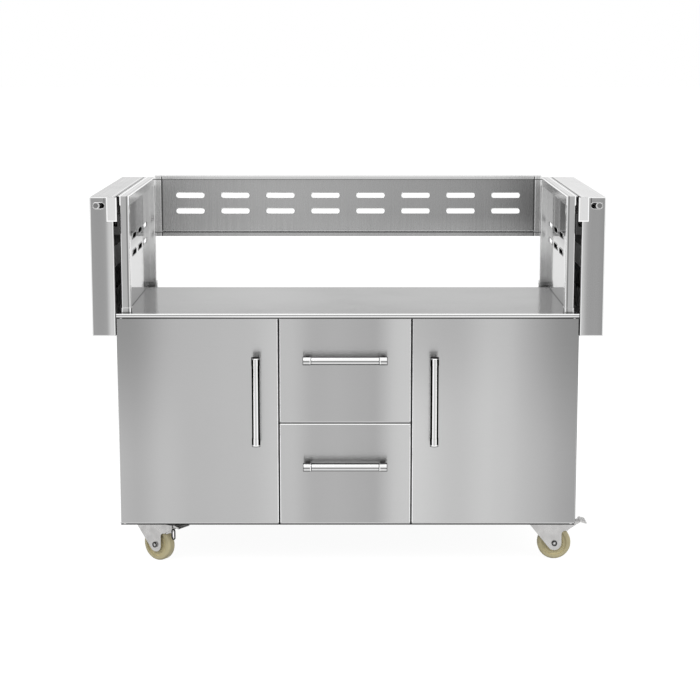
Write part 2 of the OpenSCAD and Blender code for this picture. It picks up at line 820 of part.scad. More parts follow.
// The front's liner and the box are one folded piece; the box's top edges are hemmed
module drawer_box(level) color(brushed) translate([bay_shift, 0, 0]) {
    y0 = y_door + door_t;
    z0 = front_low(level) + box_up;
    front_liner([-bay_half + front_gap / 2, front_low(level)],
        [bay_half - front_gap / 2, front_top(level)]);
    difference() {
        union() {
            block([-box_half, y0 - press_d, z0], [box_half, y0 + box_d, z0 + box_h]);
        }
        block([-box_half + box_sheet, y0 - press_d + box_sheet, z0 + box_sheet],
            [box_half - box_sheet, y0 + box_d - box_sheet, z0 + box_h + over]);
    }
    for (s = [-1, 1]) on_side(s)
        block([box_half - box_hem, y0 + box_sheet, z0 + box_h - box_hem_h],
            [box_half, y0 + box_d, z0 + box_h]);
    block([-box_half, y0 + box_d - box_hem, z0 + box_h - box_hem_h],
        [box_half, y0 + box_d, z0 + box_h]);
}

// Drawer slides: three nested channels, drawn from the cabinet's wall towards the box

module channel_2d(from, to, half) {
    translate([from, -half]) square([to - from, half * 2]);
}

module outer_slide_2d() difference() {
    channel_2d(0, outer_flange, slide_h / 2);
    channel_2d(slide_wall, outer_flange + over, slide_h / 2 - slide_wall);
}

module middle_slide_2d() {
    half = slide_h / 2 - middle_drop;
    difference() {
        channel_2d(slide_wall + middle_gap, slide_w - slide_wall - middle_gap, half);
        channel_2d(slide_wall * 2 + middle_gap, slide_w, half - slide_wall);
    }
}

module inner_slide_2d() {
    half = slide_h / 2 - inner_drop;
    difference() {
        channel_2d(slide_wall * 2 + middle_gap + slip, slide_w, half);
        channel_2d(0, slide_w - slide_wall, half - slide_wall);
    }
}

// Places a slide profile on both walls of a drawer's bay
module slides(level) {
    y0 = y_body + slide_set;
    for (s = [-1, 1]) translate([bay_shift, 0, front_low(level) + box_up + box_h / 2]) on_side(s)
        translate([bay_half - web_half, 0, 0]) mirror([1, 0, 0])
            along_y(y0, y0 + slide_len) children();
}

module drawer_outer_rails() color(zinc) for (level = [0, 1]) slides(level) outer_slide_2d();
module middle_rails(level) color(zinc) slides(level) middle_slide_2d();
module drawer_rails(level) color(zinc) slides(level) inner_slide_2d();

// Casters, drawn with the swivel axis at the origin and the wheel towards +x

module at_caster(sx, sy, turn) {
    translate([sx * (cab_half - caster_in_x), sy < 0 ? y_door + caster_in_y : y_rear - caster_in_y,
        0]) rotate([0, 0, turn]) children();
}

// Where a line from p touches the circle of radius r about c, on the low side
function touch(p, c, r) = let (a = atan2(p[1] - c[1], p[0] - c[0]) + acos(r / norm(p - c)))
    c + r * [cos(a), sin(a)];

module fork_side_2d() {
    axle = [trail, axle_z];
    back = [-fork_back, fork_top];
    difference() {
        union() {
            polygon([back, touch(back, axle, boss_r), axle, [trail + boss_r, axle_z],
                [trail + boss_r, notch_z], [arm_u, notch_z], [fork_front, arm_tip_z],
                [fork_front, fork_top]]);
            translate(axle) circle(boss_r);
            translate([trail + boss_r, notch_z - notch_r]) difference() {
                square(notch_r);
                translate([notch_r, 0]) circle(notch_r);
            }
        }
        translate(axle) circle(bolt_r + fit);
    }
}

module fork(turn, sx, sy, braked) color(zinc) at_caster(sx, sy, turn) difference() {
    union() {
        for (y = [-fork_in - fork_t, fork_in]) along_y(y, y + fork_t) fork_side_2d();
        block([-fork_back, -fork_in, fork_top - fork_t], [crown_plate_u, fork_in, fork_top]);
        translate([0, 0, crown_low]) cylinder(r = crown_r, h = crown_t);
    }
    translate([0, 0, crown_low - over]) cylinder(r = king_r + fit, h = crown_t + over * 2);
    if (braked) translate([brake_u, fork_in + fork_t + over, brake_z]) rotate([90, 0, 0])
        cylinder(r = brake_r + fit, h = (fork_in + fork_t + over) * 2);
}

module axle(turn, sx, sy) color(polished) at_caster(sx, sy, turn) translate([trail, 0, axle_z])
    rotate([90, 0, 0]) {
        cylinder(r = axle_r, h = fork_in * 2, center = true);
        cylinder(r = bolt_r, h = (fork_in + fork_t) * 2, center = true);
        translate([0, 0, fork_in + fork_t]) difference() {
            cylinder(r = bolt_head_r, h = bolt_head_t);
            translate([0, 0, bolt_head_t - socket_deep])
                cylinder(r = socket_r, h = socket_deep + over, $fn = 6);
        }
        translate([0, 0, -fork_in - fork_t - bolt_head_t * 2])
            cylinder(r = bolt_head_r, h = bolt_head_t * 2, $fn = 6);
    }

module wheel(turn, sx, sy) color(nylon) at_caster(sx, sy, turn) translate([trail, 0, axle_z])
    rotate([90, 0, 0]) rotate_extrude($fn = 96) difference() {
        union() {
            translate([axle_r + fit, -wheel_w / 2])
                square([wheel_r - tread_r - axle_r - fit, wheel_w]);
            translate([axle_r + fit, -wheel_w / 2 + tread_r])
                square([wheel_r - axle_r - fit, wheel_w - tread_r * 2]);
            for (e = [-1, 1])
                translate([wheel_r - tread_r, e * (wheel_w / 2 - tread_r)]) circle(tread_r);
            translate([axle_r + fit, -fork_in + slip])
                square([hub_r - axle_r - fit, (fork_in - slip) * 2]);
        }
        for (e = [-1, 1])
            translate([hub_r, e * wheel_w / 2 - web_cut])
                square([wheel_r - rim_in - hub_r, web_cut * 2]);
    }

// Pulls an outline of the brake, in shares about its pivot, across the caster
module brake_slab(shares, half) {
    along_y(-half, half) translate([brake_u, brake_z])
        polygon([for (p = shares) [p[0] * brake_len, p[1] * brake_high]]);
}

module brake(turn, sx, sy) color(zinc) at_caster(sx, sy, turn) {
    brake_slab(lever_shares, brake_half);
    brake_slab(tread_shares, pedal_w / 2);
    along_y(-pedal_w / 2, pedal_w / 2) translate([brake_u, brake_z])
        for (p = ridge_shares) translate([p[0] * brake_len, p[1] * brake_high]) circle(ridge_r);
    translate([brake_u, fork_in + fork_t, brake_z]) rotate([90, 0, 0])
        cylinder(r = brake_r, h = (fork_in + fork_t) * 2);
}

module caster_plates() color(zinc) caster_spots() difference() {
    union() {
        block([-plate_len / 2, -plate_wid / 2, z_base - caster_plate_t],
            [plate_len / 2, plate_wid / 2, z_base]);
        translate([0, 0, z_race]) cylinder(r = race_r, h = race_t);
        translate([0, 0, crown_low - slip]) cylinder(r = king_r, h = z_base - crown_low);
        translate([0, 0, crown_low - slip - king_head_t])
            cylinder(r = king_head_r, h = king_head_t);
    }
    bolt_spots() translate([0, 0, z_base - caster_plate_t - over])
        cylinder(r = bolt_r + hole_slack, h = caster_plate_t + over * 2);
}

module caster_bolts() color(zinc) caster_spots() bolt_spots() {
    translate([0, 0, z_base - caster_plate_t])
        cylinder(r = bolt_r, h = caster_plate_t + plate_t + nut_h);
    translate([0, 0, z_base - caster_plate_t - button_h])
        cylinder(r = bolt_head_r, h = button_h);
    translate([0, 0, z_floor]) cylinder(r = nut_r, h = nut_h, $fn = 6);
}

base_pan();
side_panel(-1);  // left_side_panel
side_panel(1);  // right_side_panel
cabinet_back_panel();
deck_pan();
deck_braces();
divider(-1);  // left_divider
divider(1);  // right_divider
post_sockets();
side_frame(-1);  // left_side_frame
side_frame(1);  // right_side_frame
vent_panel(-1);  // left_vent_panel
vent_panel(1);  // right_vent_panel
rear_vent_panel();
shelf_brackets(-1);  // left_shelf_brackets
shelf_brackets(1);  // right_shelf_brackets
shelf_pivot_pins();
shelf_cover_plates();
shelf_bumpers();
drawer_outer_rails();
door_pivot_pins();
door_catches();
frame_screws();
caster_plates();
caster_bolts();
door_panel(-1);  // left_door_panel
door_liner(-1);  // left_door_liner
door_handle(-1);  // left_door_handle
door_panel(1);  // right_door_panel
door_liner(1);  // right_door_liner
door_handle(1);  // right_door_handle
drawer_front(1);  // upper_drawer_front
drawer_box(1);  // upper_drawer_box
drawer_handle(1);  // upper_drawer_handle
drawer_rails(1);  // upper_drawer_rails
middle_rails(1);  // upper_middle_rails
drawer_front(0);  // lower_drawer_front
drawer_box(0);  // lower_drawer_box
drawer_handle(0);  // lower_drawer_handle
drawer_rails(0);  // lower_drawer_rails
middle_rails(0);  // lower_middle_rails
shelf(-1);  // left_shelf
shelf(1);  // right_shelf
shelf_bushes(-1);  // left_shelf_bushes
shelf_bushes(1);  // right_shelf_bushes
fork(front_left_angle, -1, -1, true);  // front_left_fork
axle(front_left_angle, -1, -1);  // front_left_axle
wheel(front_left_angle, -1, -1);  // front_left_wheel
brake(front_left_angle, -1, -1);  // front_left_brake
fork(front_right_angle, 1, -1, true);  // front_right_fork
axle(front_right_angle, 1, -1);  // front_right_axle
wheel(front_right_angle, 1, -1);  // front_right_wheel
brake(front_right_angle, 1, -1);  // front_right_brake
fork(rear_left_angle, -1, 1, false);  // rear_left_fork
axle(rear_left_angle, -1, 1);  // rear_left_axle
wheel(rear_left_angle, -1, 1);  // rear_left_wheel
fork(rear_right_angle, 1, 1, false);  // rear_right_fork
axle(rear_right_angle, 1, 1);  // rear_right_axle
wheel(rear_right_angle, 1, 1);  // rear_right_wheel
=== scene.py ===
# %% [markdown]
# # A stainless grill cart
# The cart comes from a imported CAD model, in metres, with the floor at z = 0 and its front towards -Y.
# This lesson gives it its finishes and the small parts that a workshop adds last, and sets the light
# and the camera. The CAD parts stay where they are: only their materials change.

# %% Frame
import json
import math
import bmesh
import bpy
import numpy as np
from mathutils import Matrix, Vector

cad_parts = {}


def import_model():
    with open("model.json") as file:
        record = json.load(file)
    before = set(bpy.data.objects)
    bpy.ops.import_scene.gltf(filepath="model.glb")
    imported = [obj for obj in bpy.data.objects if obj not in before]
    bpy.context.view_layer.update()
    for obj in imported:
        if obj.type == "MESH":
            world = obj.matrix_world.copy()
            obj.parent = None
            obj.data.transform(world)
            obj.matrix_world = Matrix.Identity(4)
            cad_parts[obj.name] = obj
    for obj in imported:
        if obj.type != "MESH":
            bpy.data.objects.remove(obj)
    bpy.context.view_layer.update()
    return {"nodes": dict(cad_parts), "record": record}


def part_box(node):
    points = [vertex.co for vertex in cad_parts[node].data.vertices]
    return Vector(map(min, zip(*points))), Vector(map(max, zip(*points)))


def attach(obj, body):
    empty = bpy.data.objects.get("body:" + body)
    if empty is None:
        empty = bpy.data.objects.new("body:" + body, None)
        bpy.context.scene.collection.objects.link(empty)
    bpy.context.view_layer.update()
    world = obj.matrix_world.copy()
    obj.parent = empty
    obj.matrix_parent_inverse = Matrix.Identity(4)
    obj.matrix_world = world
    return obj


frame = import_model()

MM = 0.001
X, Y, Z = 0, 1, 2
nodes = frame["nodes"]
scene = bpy.context.scene

# %% [markdown]
# ## Camera
# The picture was taken from about four metres away with a long lens, a little above the cart and
# pointing slightly down. A short lens close by could fill the frame as well, but its uprights would
# lean, and a long one keeps them nearly upright. The small negative shift moves the frame down
# without tilting the camera further.

# %% Camera
LENS = 93.02
SHIFT = -0.03
PITCH = 9.19
CAMERA_SIDE, CAMERA_BACK, CAMERA_HEIGHT = 5.27 * MM, 4151.6 * MM, 1244.3 * MM
door_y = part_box("left_door_panel")[0].y
camera_data = bpy.data.cameras.new("camera")
camera_data.sensor_width = 36
camera_data.lens = LENS
camera_data.shift_y = SHIFT
camera_data.clip_start = 0.1
camera_data.clip_end = 200
camera = bpy.data.objects.new("camera", camera_data)
scene.collection.objects.link(camera)
camera.location = (CAMERA_SIDE, door_y - CAMERA_BACK, CAMERA_HEIGHT)
camera.rotation_euler = (math.radians(90 - PITCH), 0, 0)
scene.camera = camera
print("camera height in mm:", round(camera.location.z / MM))

# %% [markdown]
# ## Node helpers
# Shader trees are easier to read when a node and its inputs are made in one line. They could be
# joined by hand in the editor, but then no loop could repeat them for another piece. `link_or_set`
# puts a number on a socket and joins a socket to a socket, so that a plain number always stays on
# the shader itself.

# %% Node helpers
def link_or_set(tree, socket, value):
    """Joins the socket to another socket, or writes a plain value on it."""
    if isinstance(value, bpy.types.NodeSocket):
        tree.links.new(value, socket)
    else:
        socket.default_value = value


def add(tree, kind, inputs=None, **settings):
    """A new node of that kind, with its settings and its inputs by name or number."""
    new = tree.nodes.new(kind)
    for name, value in settings.items():
        setattr(new, name, value)
    for key, value in (inputs or {}).items():
        link_or_set(tree, new.inputs[key], value)
    return new


def maths(tree, operation, a, b=0.0, clamp=False):
    """One arithmetic step on two numbers or sockets."""
    return add(tree, "ShaderNodeMath", {0: a, 1: b}, operation=operation, use_clamp=clamp).outputs[0]


def times(tree, a, b):
    """The product of two numbers or sockets."""
    return maths(tree, "MULTIPLY", a, b)


def vector_step(tree, operation, a, b):
    """One step on two vectors."""
    return add(tree, "ShaderNodeVectorMath", {0: a, 1: b}, operation=operation).outputs[0]


def ramp(tree, value, low, high, to_low=0.0, to_high=1.0):
    """A smooth step: to_low below low, to_high above high."""
    step = add(tree, "ShaderNodeMapRange", {"Value": value, "From Min": low, "From Max": high,
                                            "To Min": to_low, "To Max": to_high},
               interpolation_type="SMOOTHSTEP")
    return step.outputs["Result"]


def mix(tree, factor, a, b):
    """A blend from colour a to colour b."""
    blend = add(tree, "ShaderNodeMix", data_type="RGBA")
    link_or_set(tree, blend.inputs[0], factor)
    link_or_set(tree, blend.inputs[6], a)
    link_or_set(tree, blend.inputs[7], b)
    return blend.outputs[2]


def grey(value, warm=0.0):
    """A neutral colour, a little warmer where warm is above zero."""
    return (value * (1 + warm), value, value * (1 - warm), 1.0)


def bare_material(name):
    """An empty material and its tree."""
    made = bpy.data.materials.new(name)
    made.use_nodes = True
    made.node_tree.nodes.clear()
    return made, made.node_tree


# %% [markdown]
# ## Light and backdrop
# The cart stands in a plain white studio. A panorama of a real studio would give livelier
# reflections, but it would tint every grey. So the world is white wherever the camera or a
# reflection sees it, and a little weaker as a light on matt things. The lamps stay low, so a colour
# renders about as it is written.

# %% World
WORLD_LIGHT = 0.74


def seen_directly(tree):
    """One for the rays of the camera, of reflections and of glass, and nought for the rest."""
    path = add(tree, "ShaderNodeLightPath").outputs
    seen = maths(tree, "ADD", path["Is Camera Ray"], path["Is Glossy Ray"], clamp=True)
    return maths(tree, "ADD", seen, path["Is Transmission Ray"], clamp=True)


world = bpy.data.worlds.new("studio")
scene.world = world
world.use_nodes = True
sky = world.node_tree
sky.nodes.clear()
level = add(sky, "ShaderNodeMapRange", {"Value": seen_directly(sky), "To Min": WORLD_LIGHT,
                                        "To Max": 1.0})
background = add(sky, "ShaderNodeBackground", {"Color": (1, 1, 1, 1),
                                               "Strength": level.outputs["Result"]})
add(sky, "ShaderNodeOutputWorld", {"Surface": background.outputs[0]})
print("world light on matt things:", WORLD_LIGHT)


# %% Lamps
LAMP_SIZE = 2.4


def lamp(name, place, watts):
    """A soft square lamp at place, turned towards the middle of the cart."""
    data = bpy.data.lights.new(name, "AREA")
    data.shape = "SQUARE"
    data.size = LAMP_SIZE
    data.energy = watts
    made = bpy.data.objects.new(name, data)
    made.location = place
    made.rotation_euler = (Vector((0, 0, 0.45)) - Vector(place)).to_track_quat("-Z", "Y").to_euler()
    made.visible_camera = False
    scene.collection.objects.link(made)


lamp("key_lamp", (-1.6, -2.6, 3.6), 46)
lamp("fill_lamp", (2.6, -2.2, 2.4), 20)

# %% [markdown]
# ## Floor
# The floor is a wide sheet. It could be left out, but then the casters would seem to float. To the
# camera and to reflections it glows almost white, and a little matt colour on top of that glow takes
# the cart's shadow, so that it stays pale, as in a studio where the floor is lit from all sides.

# %% Floor
FLOOR_HALF = 40.0
SHADOW_SHARE = 0.22
FLOOR_GLOW = 0.93


def stage_card(name, corners, material):
    """A flat card with four corners that belongs to the stage."""
    mesh = bpy.data.meshes.new(name)
    mesh.from_pydata(corners, [], [(0, 1, 2, 3)])
    mesh.materials.append(material)
    card = bpy.data.objects.new(name, mesh)
    scene.collection.objects.link(card)
    return card


white, tree = bare_material("floor_white")
matt = add(tree, "ShaderNodeBsdfDiffuse", {"Color": grey(SHADOW_SHARE)})
glow = add(tree, "ShaderNodeEmission", {"Color": grey(1.0),
                                        "Strength": times(tree, seen_directly(tree), FLOOR_GLOW)})
both = add(tree, "ShaderNodeAddShader", {0: matt.outputs[0], 1: glow.outputs[0]})
add(tree, "ShaderNodeOutputMaterial", {"Surface": both.outputs[0]})
stage_card("floor", [(x * FLOOR_HALF, y * FLOOR_HALF, 0.0)
                     for x, y in [(-1, -1), (1, -1), (1, 1), (-1, 1)]], white)
scene.view_settings.view_transform = "Standard"

# %% [markdown]
# ## Flags
# Polished bars look flat in an all-white room, because every side of them reflects the same white.
# A studio stands dark cards, called flags, beside the set, and their reflections draw the dark lines
# along bars and bends. These cards are seen only by reflections and cast no shadow. They are stage,
# not part of the cart.

# %% Flags
FLAG_GLOW = 0.02
FLAG_TOP = 1.9
for name, side in [("left_flag", -1), ("right_flag", 1)]:
    cloth, tree = bare_material(name)
    dull_shade = add(tree, "ShaderNodeEmission", {"Color": grey(FLAG_GLOW), "Strength": 1.0})
    add(tree, "ShaderNodeOutputMaterial", {"Surface": dull_shade.outputs[0]})
    card = stage_card(name, [(side * 2.4, -0.55, FLAG_TOP), (side * 2.2, -1.9, FLAG_TOP),
                             (side * 2.2, -1.9, 0.0), (side * 2.4, -0.55, 0.0)], cloth)
    card.visible_camera = card.visible_diffuse = card.visible_shadow = False
    card.visible_transmission = card.visible_volume_scatter = False

# %% [markdown]
# ## Shared effects
# Three effects appear in several of the finishes. They could be copied into each material, but one
# node group for each keeps them alike. Brushed grain is a noise that is stretched along the brushing.
# The edge light is a painted highlight along the bent edges. Wear is a cloudy mask of faint
# smears.

# %% Effects: groups
def group(name, inputs, outputs):
    """A new shader group with its sockets, returned with its input and output nodes."""
    tree = bpy.data.node_groups.new(name, "ShaderNodeTree")
    for label, kind, value in inputs:
        socket = tree.interface.new_socket(label, in_out="INPUT", socket_type=kind)
        if value is not None:
            socket.default_value = value
    for label, kind in outputs:
        tree.interface.new_socket(label, in_out="OUTPUT", socket_type=kind)
    return tree, tree.nodes.new("NodeGroupInput").outputs, tree.nodes.new("NodeGroupOutput").inputs


# %% Effects: brushed grain
STREAK_SCALE = 0.12
grain, ins, outs = group(
    "brushed_grain",
    [("Vector", "NodeSocketVector", None), ("Stretch", "NodeSocketVector", (1, 1, 1)),
     ("Depth", "NodeSocketFloat", 0.05)],
    [("Tone", "NodeSocketFloat"), ("Gloss", "NodeSocketFloat"), ("Normal", "NodeSocketVector")])
stretched = vector_step(grain, "MULTIPLY", ins["Vector"], ins["Stretch"])
hair = add(grain, "ShaderNodeTexNoise", {"Vector": stretched, "Scale": 1.0, "Detail": 2.0,
                                         "Roughness": 0.7}).outputs[0]
wide = vector_step(grain, "MULTIPLY", stretched, (STREAK_SCALE, STREAK_SCALE, STREAK_SCALE))
streak = add(grain, "ShaderNodeTexNoise", {"Vector": wide, "Scale": 1.0, "Detail": 1.0}).outputs[0]
both = maths(grain, "ADD", times(grain, hair, 0.5), times(grain, streak, 0.5))
away = maths(grain, "SUBTRACT", both, 0.5)
grain.links.new(maths(grain, "ADD", times(grain, away, ins["Depth"]), 1.0), outs["Tone"])
grain.links.new(both, outs["Gloss"])
dent = add(grain, "ShaderNodeBump", {"Height": hair, "Strength": 0.12, "Distance": 0.1 * MM})
grain.links.new(dent.outputs[0], outs["Normal"])

# %% Effects: edge light
# The edge light is the mask of a painted highlight along the outline of a box.
edge, ins, outs = group(
    "edge_light",
    [("Vector", "NodeSocketVector", None), ("Low", "NodeSocketVector", None),
     ("High", "NodeSocketVector", None), ("Width", "NodeSocketFloat", 0.0015)],
    [("Mask", "NodeSocketFloat")])
nearest = vector_step(edge, "MINIMUM", vector_step(edge, "SUBTRACT", ins["Vector"], ins["Low"]),
                      vector_step(edge, "SUBTRACT", ins["High"], ins["Vector"]))
apart = add(edge, "ShaderNodeSeparateXYZ", {0: nearest})
least = maths(edge, "MINIMUM", apart.outputs[X], apart.outputs[Z])
edge.links.new(ramp(edge, least, times(edge, ins["Width"], 0.6), ins["Width"], 1.0, 0.0), outs["Mask"])

# %% Effects: wear
wear, ins, outs = group(
    "wear",
    [("Vector", "NodeSocketVector", None), ("Size", "NodeSocketFloat", 6.0)],
    [("Cloud", "NodeSocketFloat")])
cloud = add(wear, "ShaderNodeTexNoise", {"Vector": ins["Vector"], "Scale": ins["Size"], "Detail": 4.0,
                                         "Roughness": 0.6}).outputs[0]
wear.links.new(ramp(wear, cloud, 0.35, 0.7), outs["Cloud"])
print("groups:", [g.name for g in bpy.data.node_groups])

# %% [markdown]
# ## Places on a piece
# Painted light and shade change from place to place: a painted shade near a corner, a painted
# highlight along a bend. Masks could be drawn as pictures, but a rule on coordinates stays sharp close
# up and follows a changed size. `OFF` stands for the distance to the left or right of the cart's
# middle, so that one rule serves both sides. A mask maker is a function of a tree and a place, and the
# makers can be joined.

# %% Places on a piece
OFF = 3


def coordinate(tree, place, axis):
    """One coordinate of the place in metres, or its distance from the cart's middle for OFF."""
    value = add(tree, "ShaderNodeSeparateXYZ", {0: place}).outputs[X if axis == OFF else axis]
    return maths(tree, "ABSOLUTE", value) if axis == OFF else value


def past(axis, start, end):
    """A maker of a mask that is nought up to start along that axis, and one from end on."""
    return lambda tree, place: ramp(tree, coordinate(tree, place, axis), start, end)


def before(axis, start, end):
    """A maker of a mask that is one up to start along that axis, and nought from end on."""
    return lambda tree, place: ramp(tree, coordinate(tree, place, axis), start, end, 1.0, 0.0)


def all_of(*makers):
    """A maker of the product of several masks."""
    def mask(tree, place):
        product = makers[0](tree, place)
        for maker in makers[1:]:
            product = times(tree, product, maker(tree, place))
        return product
    return mask


def line(axis, start, offset, half, shown):
    """A thin line with a display grey, on the plane that lies offset past start along the axis; the
    script draws painted highlights and painted shade lines with it.
    offset and half, which is half of the line's width, are in millimetres."""
    return axis, start + offset * MM, half * MM, shown


def line_mask(tree, place, axis, at, half):
    """One on the plane where that coordinate is at, fading out about half a line's width from it."""
    away = maths(tree, "ABSOLUTE", maths(tree, "SUBTRACT", coordinate(tree, place, axis), at))
    return ramp(tree, away, half * 0.6, half * 1.4, 1.0, 0.0)


# %% [markdown]
# ## Sheet steel
# Nearly the whole cart is brushed stainless steel. In an all-white room a metal shows little but its
# own colour, so one recipe paints into every sheet the light and shade that a real room would draw
# there: wide soft bands across the piece as painted reflections, and painted highlights and shade
# lines, over a display grey with grain along the brushing and a little cloudy wear in the gloss.
# Greys are written as they look on the screen, from 0 to 255, and `linear` turns them into the
# numbers that the shader wants.

# %% Steel recipe
BRUSH_ALONG = 25.0
BRUSH_ACROSS = 2200.0
EDGE_HIGHLIGHT_TONE = 250
EDGE_WIDTH = 2.6 * MM
SMEAR_SIZE = 6.0
SMEAR_ROUGH = 0.04
DULL_ROUGH = 0.5


def linear(shown):
    """The light level of a display grey from 0 to 255."""
    level = shown / 255
    return level / 12.92 if level <= 0.04045 else ((level + 0.055) / 1.055) ** 2.4


def display(shown, warm=0.0):
    """The colour that renders as a display grey."""
    return grey(linear(shown), warm)


def stretch(axis):
    """How far the grain is drawn out: long along the brushed axis, fine across it."""
    return tuple(BRUSH_ALONG if i == axis else BRUSH_ACROSS for i in range(3))


def new_material(name):
    """An empty material and its tree, with the object's coordinates."""
    made, tree = bare_material(name)
    return made, tree, add(tree, "ShaderNodeTexCoord").outputs["Object"]


def finish_material(tree, colour, rough, **sockets):
    """The Principled shader and the output, fed with the colour, the roughness and the rest."""
    shader = add(tree, "ShaderNodeBsdfPrincipled",
                 {"Base Color": colour, "Roughness": rough, **sockets})
    add(tree, "ShaderNodeOutputMaterial", {"Surface": shader.outputs[0]})
    return shader


def clouds(tree, place, size):
    """The mask of the wear group. A larger size number gives smaller clouds."""
    smears = add(tree, "ShaderNodeGroup", {"Vector": place, "Size": size}, node_tree=wear)
    return smears.outputs["Cloud"]


def uneven(tree, mask, reach, rough):
    """A roughness that the mask raises by reach where it is one."""
    return maths(tree, "ADD", times(tree, mask, reach), rough)


def graded(tree, share, stops, interpolation="CARDINAL"):
    """A row of tones along a value from 0 to 1. stops are (share, display grey)."""
    band = add(tree, "ShaderNodeValToRGB", {0: share})
    band.color_ramp.interpolation = interpolation
    while len(band.color_ramp.elements) < len(stops):
        band.color_ramp.elements.new(1.0)
    for element, (where, shown) in zip(band.color_ramp.elements, stops):
        element.position = where
        element.color = display(shown)
    return band.outputs[0]


def across(node, axis, stops):
    """Wide bands over the whole of a node along one axis. stops are (share, display grey)."""
    low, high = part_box(node)
    return axis, low[axis], high[axis], stops


def soft_bands(tree, place, axis, low, high, stops):
    """The tones of wide bands, by the share of the way from low to high."""
    share = add(tree, "ShaderNodeMapRange", {"Value": coordinate(tree, place, axis),
                                             "From Min": low, "From Max": high})
    return graded(tree, share.outputs["Result"], stops)


def steel(name, brushed_axis, tone=None, bands=None, rough=(0.2, 0.32), depth=0.1, rim=None,
          painted_light_and_shade=(), lines=(), dull_shade=None, coarse=None, grazing=None):
    """A brushed sheet of one display grey, or with bands of painted reflections that `across` gives.

    rim is the low and the high corner of a box whose outline gets a painted highlight.
    painted_light_and_shade are (mask maker, display grey, strength) of painted light and shade, and
    `line` gives each of the lines. dull_shade is a mask maker of places that are painted matt and dark
    as shade. coarse is how much the gloss runs across the brushing, as on coarse brushed sheet.
    grazing is how much of the light a flat look along the sheet keeps.
    """
    made, tree, place = new_material(name)
    brush = add(tree, "ShaderNodeGroup", {"Vector": place, "Stretch": stretch(brushed_axis),
                                          "Depth": depth}, node_tree=grain).outputs
    base = soft_bands(tree, place, *bands) if bands else display(tone)[:3]
    toned = vector_step(tree, "MULTIPLY", base, brush["Tone"])
    if rim:
        outline = add(tree, "ShaderNodeGroup", {"Vector": place, "Low": rim[0], "High": rim[1],
                                                "Width": EDGE_WIDTH}, node_tree=edge)
        toned = mix(tree, outline.outputs["Mask"], toned, display(EDGE_HIGHLIGHT_TONE))
    for mask, shown, strength in painted_light_and_shade:
        toned = mix(tree, times(tree, mask(tree, place), strength), toned, display(shown))
    for axis, at, half, shown in lines:
        toned = mix(tree, line_mask(tree, place, axis, at, half), toned, display(shown))
    gloss = add(tree, "ShaderNodeMapRange", {"Value": brush["Gloss"], "From Min": 0.3,
                                             "From Max": 0.7, "To Min": rough[0], "To Max": rough[1]})
    smeared = uneven(tree, clouds(tree, place, SMEAR_SIZE), SMEAR_ROUGH, gloss.outputs["Result"])
    shader = finish_material(tree, toned, smeared, Normal=brush["Normal"], Metallic=1.0)
    if dull_shade:
        matt = dull_shade(tree, place)
        tree.links.new(maths(tree, "SUBTRACT", 1.0, matt), shader.inputs["Metallic"])
        tree.links.new(uneven(tree, matt, DULL_ROUGH, smeared), shader.inputs["Roughness"])
    if grazing:
        shader.inputs["Specular Tint"].default_value = grey(grazing)
    if coarse:
        shader.inputs["Anisotropic"].default_value = coarse
        shader.inputs["Anisotropic Rotation"].default_value = 0.25
        along = add(tree, "ShaderNodeTangent", direction_type="RADIAL", axis="Z")
        tree.links.new(along.outputs[0], shader.inputs["Tangent"])
    return made


def dress(material, *names):
    """Puts the material in the first slot of the named CAD nodes."""
    for name in names:
        nodes[name].data.materials.clear()
        nodes[name].data.materials.append(material)


# %% [markdown]
# ## Doors and drawer fronts
# The fronts are folded pans. Their bent edges catch the light as thin white lines. Bevels could draw
# them, but they would be about as thin as a pixel, so a painted highlight follows each outline. The
# sides of the pans, which only show in the narrow gaps, are painted dark and matt as shade. The wide
# bands are partly the rolling of the sheet and partly painted reflections of the room. They are few
# and soft, so that they read as steel and not as stripes. Painted shade darkens an upper corner of
# each door. The upper edges under the deck's rim stay unlit.

# %% Doors and drawer fronts
GAP_SHADE_TONE = 22
SHADE_TONE = 126
PAN_RIM = 1.3 * MM
RIM_HIDDEN = 10 * MM
NEAR_SKIN, FAR_SKIN = 0.8 * MM, 1.2 * MM
doors_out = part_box("right_door_panel")[1].x
# The returned sides of the pans in the gaps, without the doors' outer sides, which face the room, are
# painted dark as shade.
shaded_pan_side = all_of(past(Y, door_y + PAN_RIM, door_y + PAN_RIM * 2),
                  before(OFF, doors_out - FAR_SKIN, doors_out - NEAR_SKIN))


def corner_shade(node, side, reach, start=0.25):
    """A maker of the painted shade towards one upper corner of a front; side is -1 for left, 1 for
    right.
    reach is the share of the width that it covers, and start the share of the height where it
    begins."""
    (x0, _, z0), (x1, _, z1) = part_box(node)
    width = (x1 - x0) * reach
    return all_of(past(X, x1 - width, x1) if side > 0 else before(X, x0, x0 + width),
                  past(Z, z0 + (z1 - z0) * start, z1))


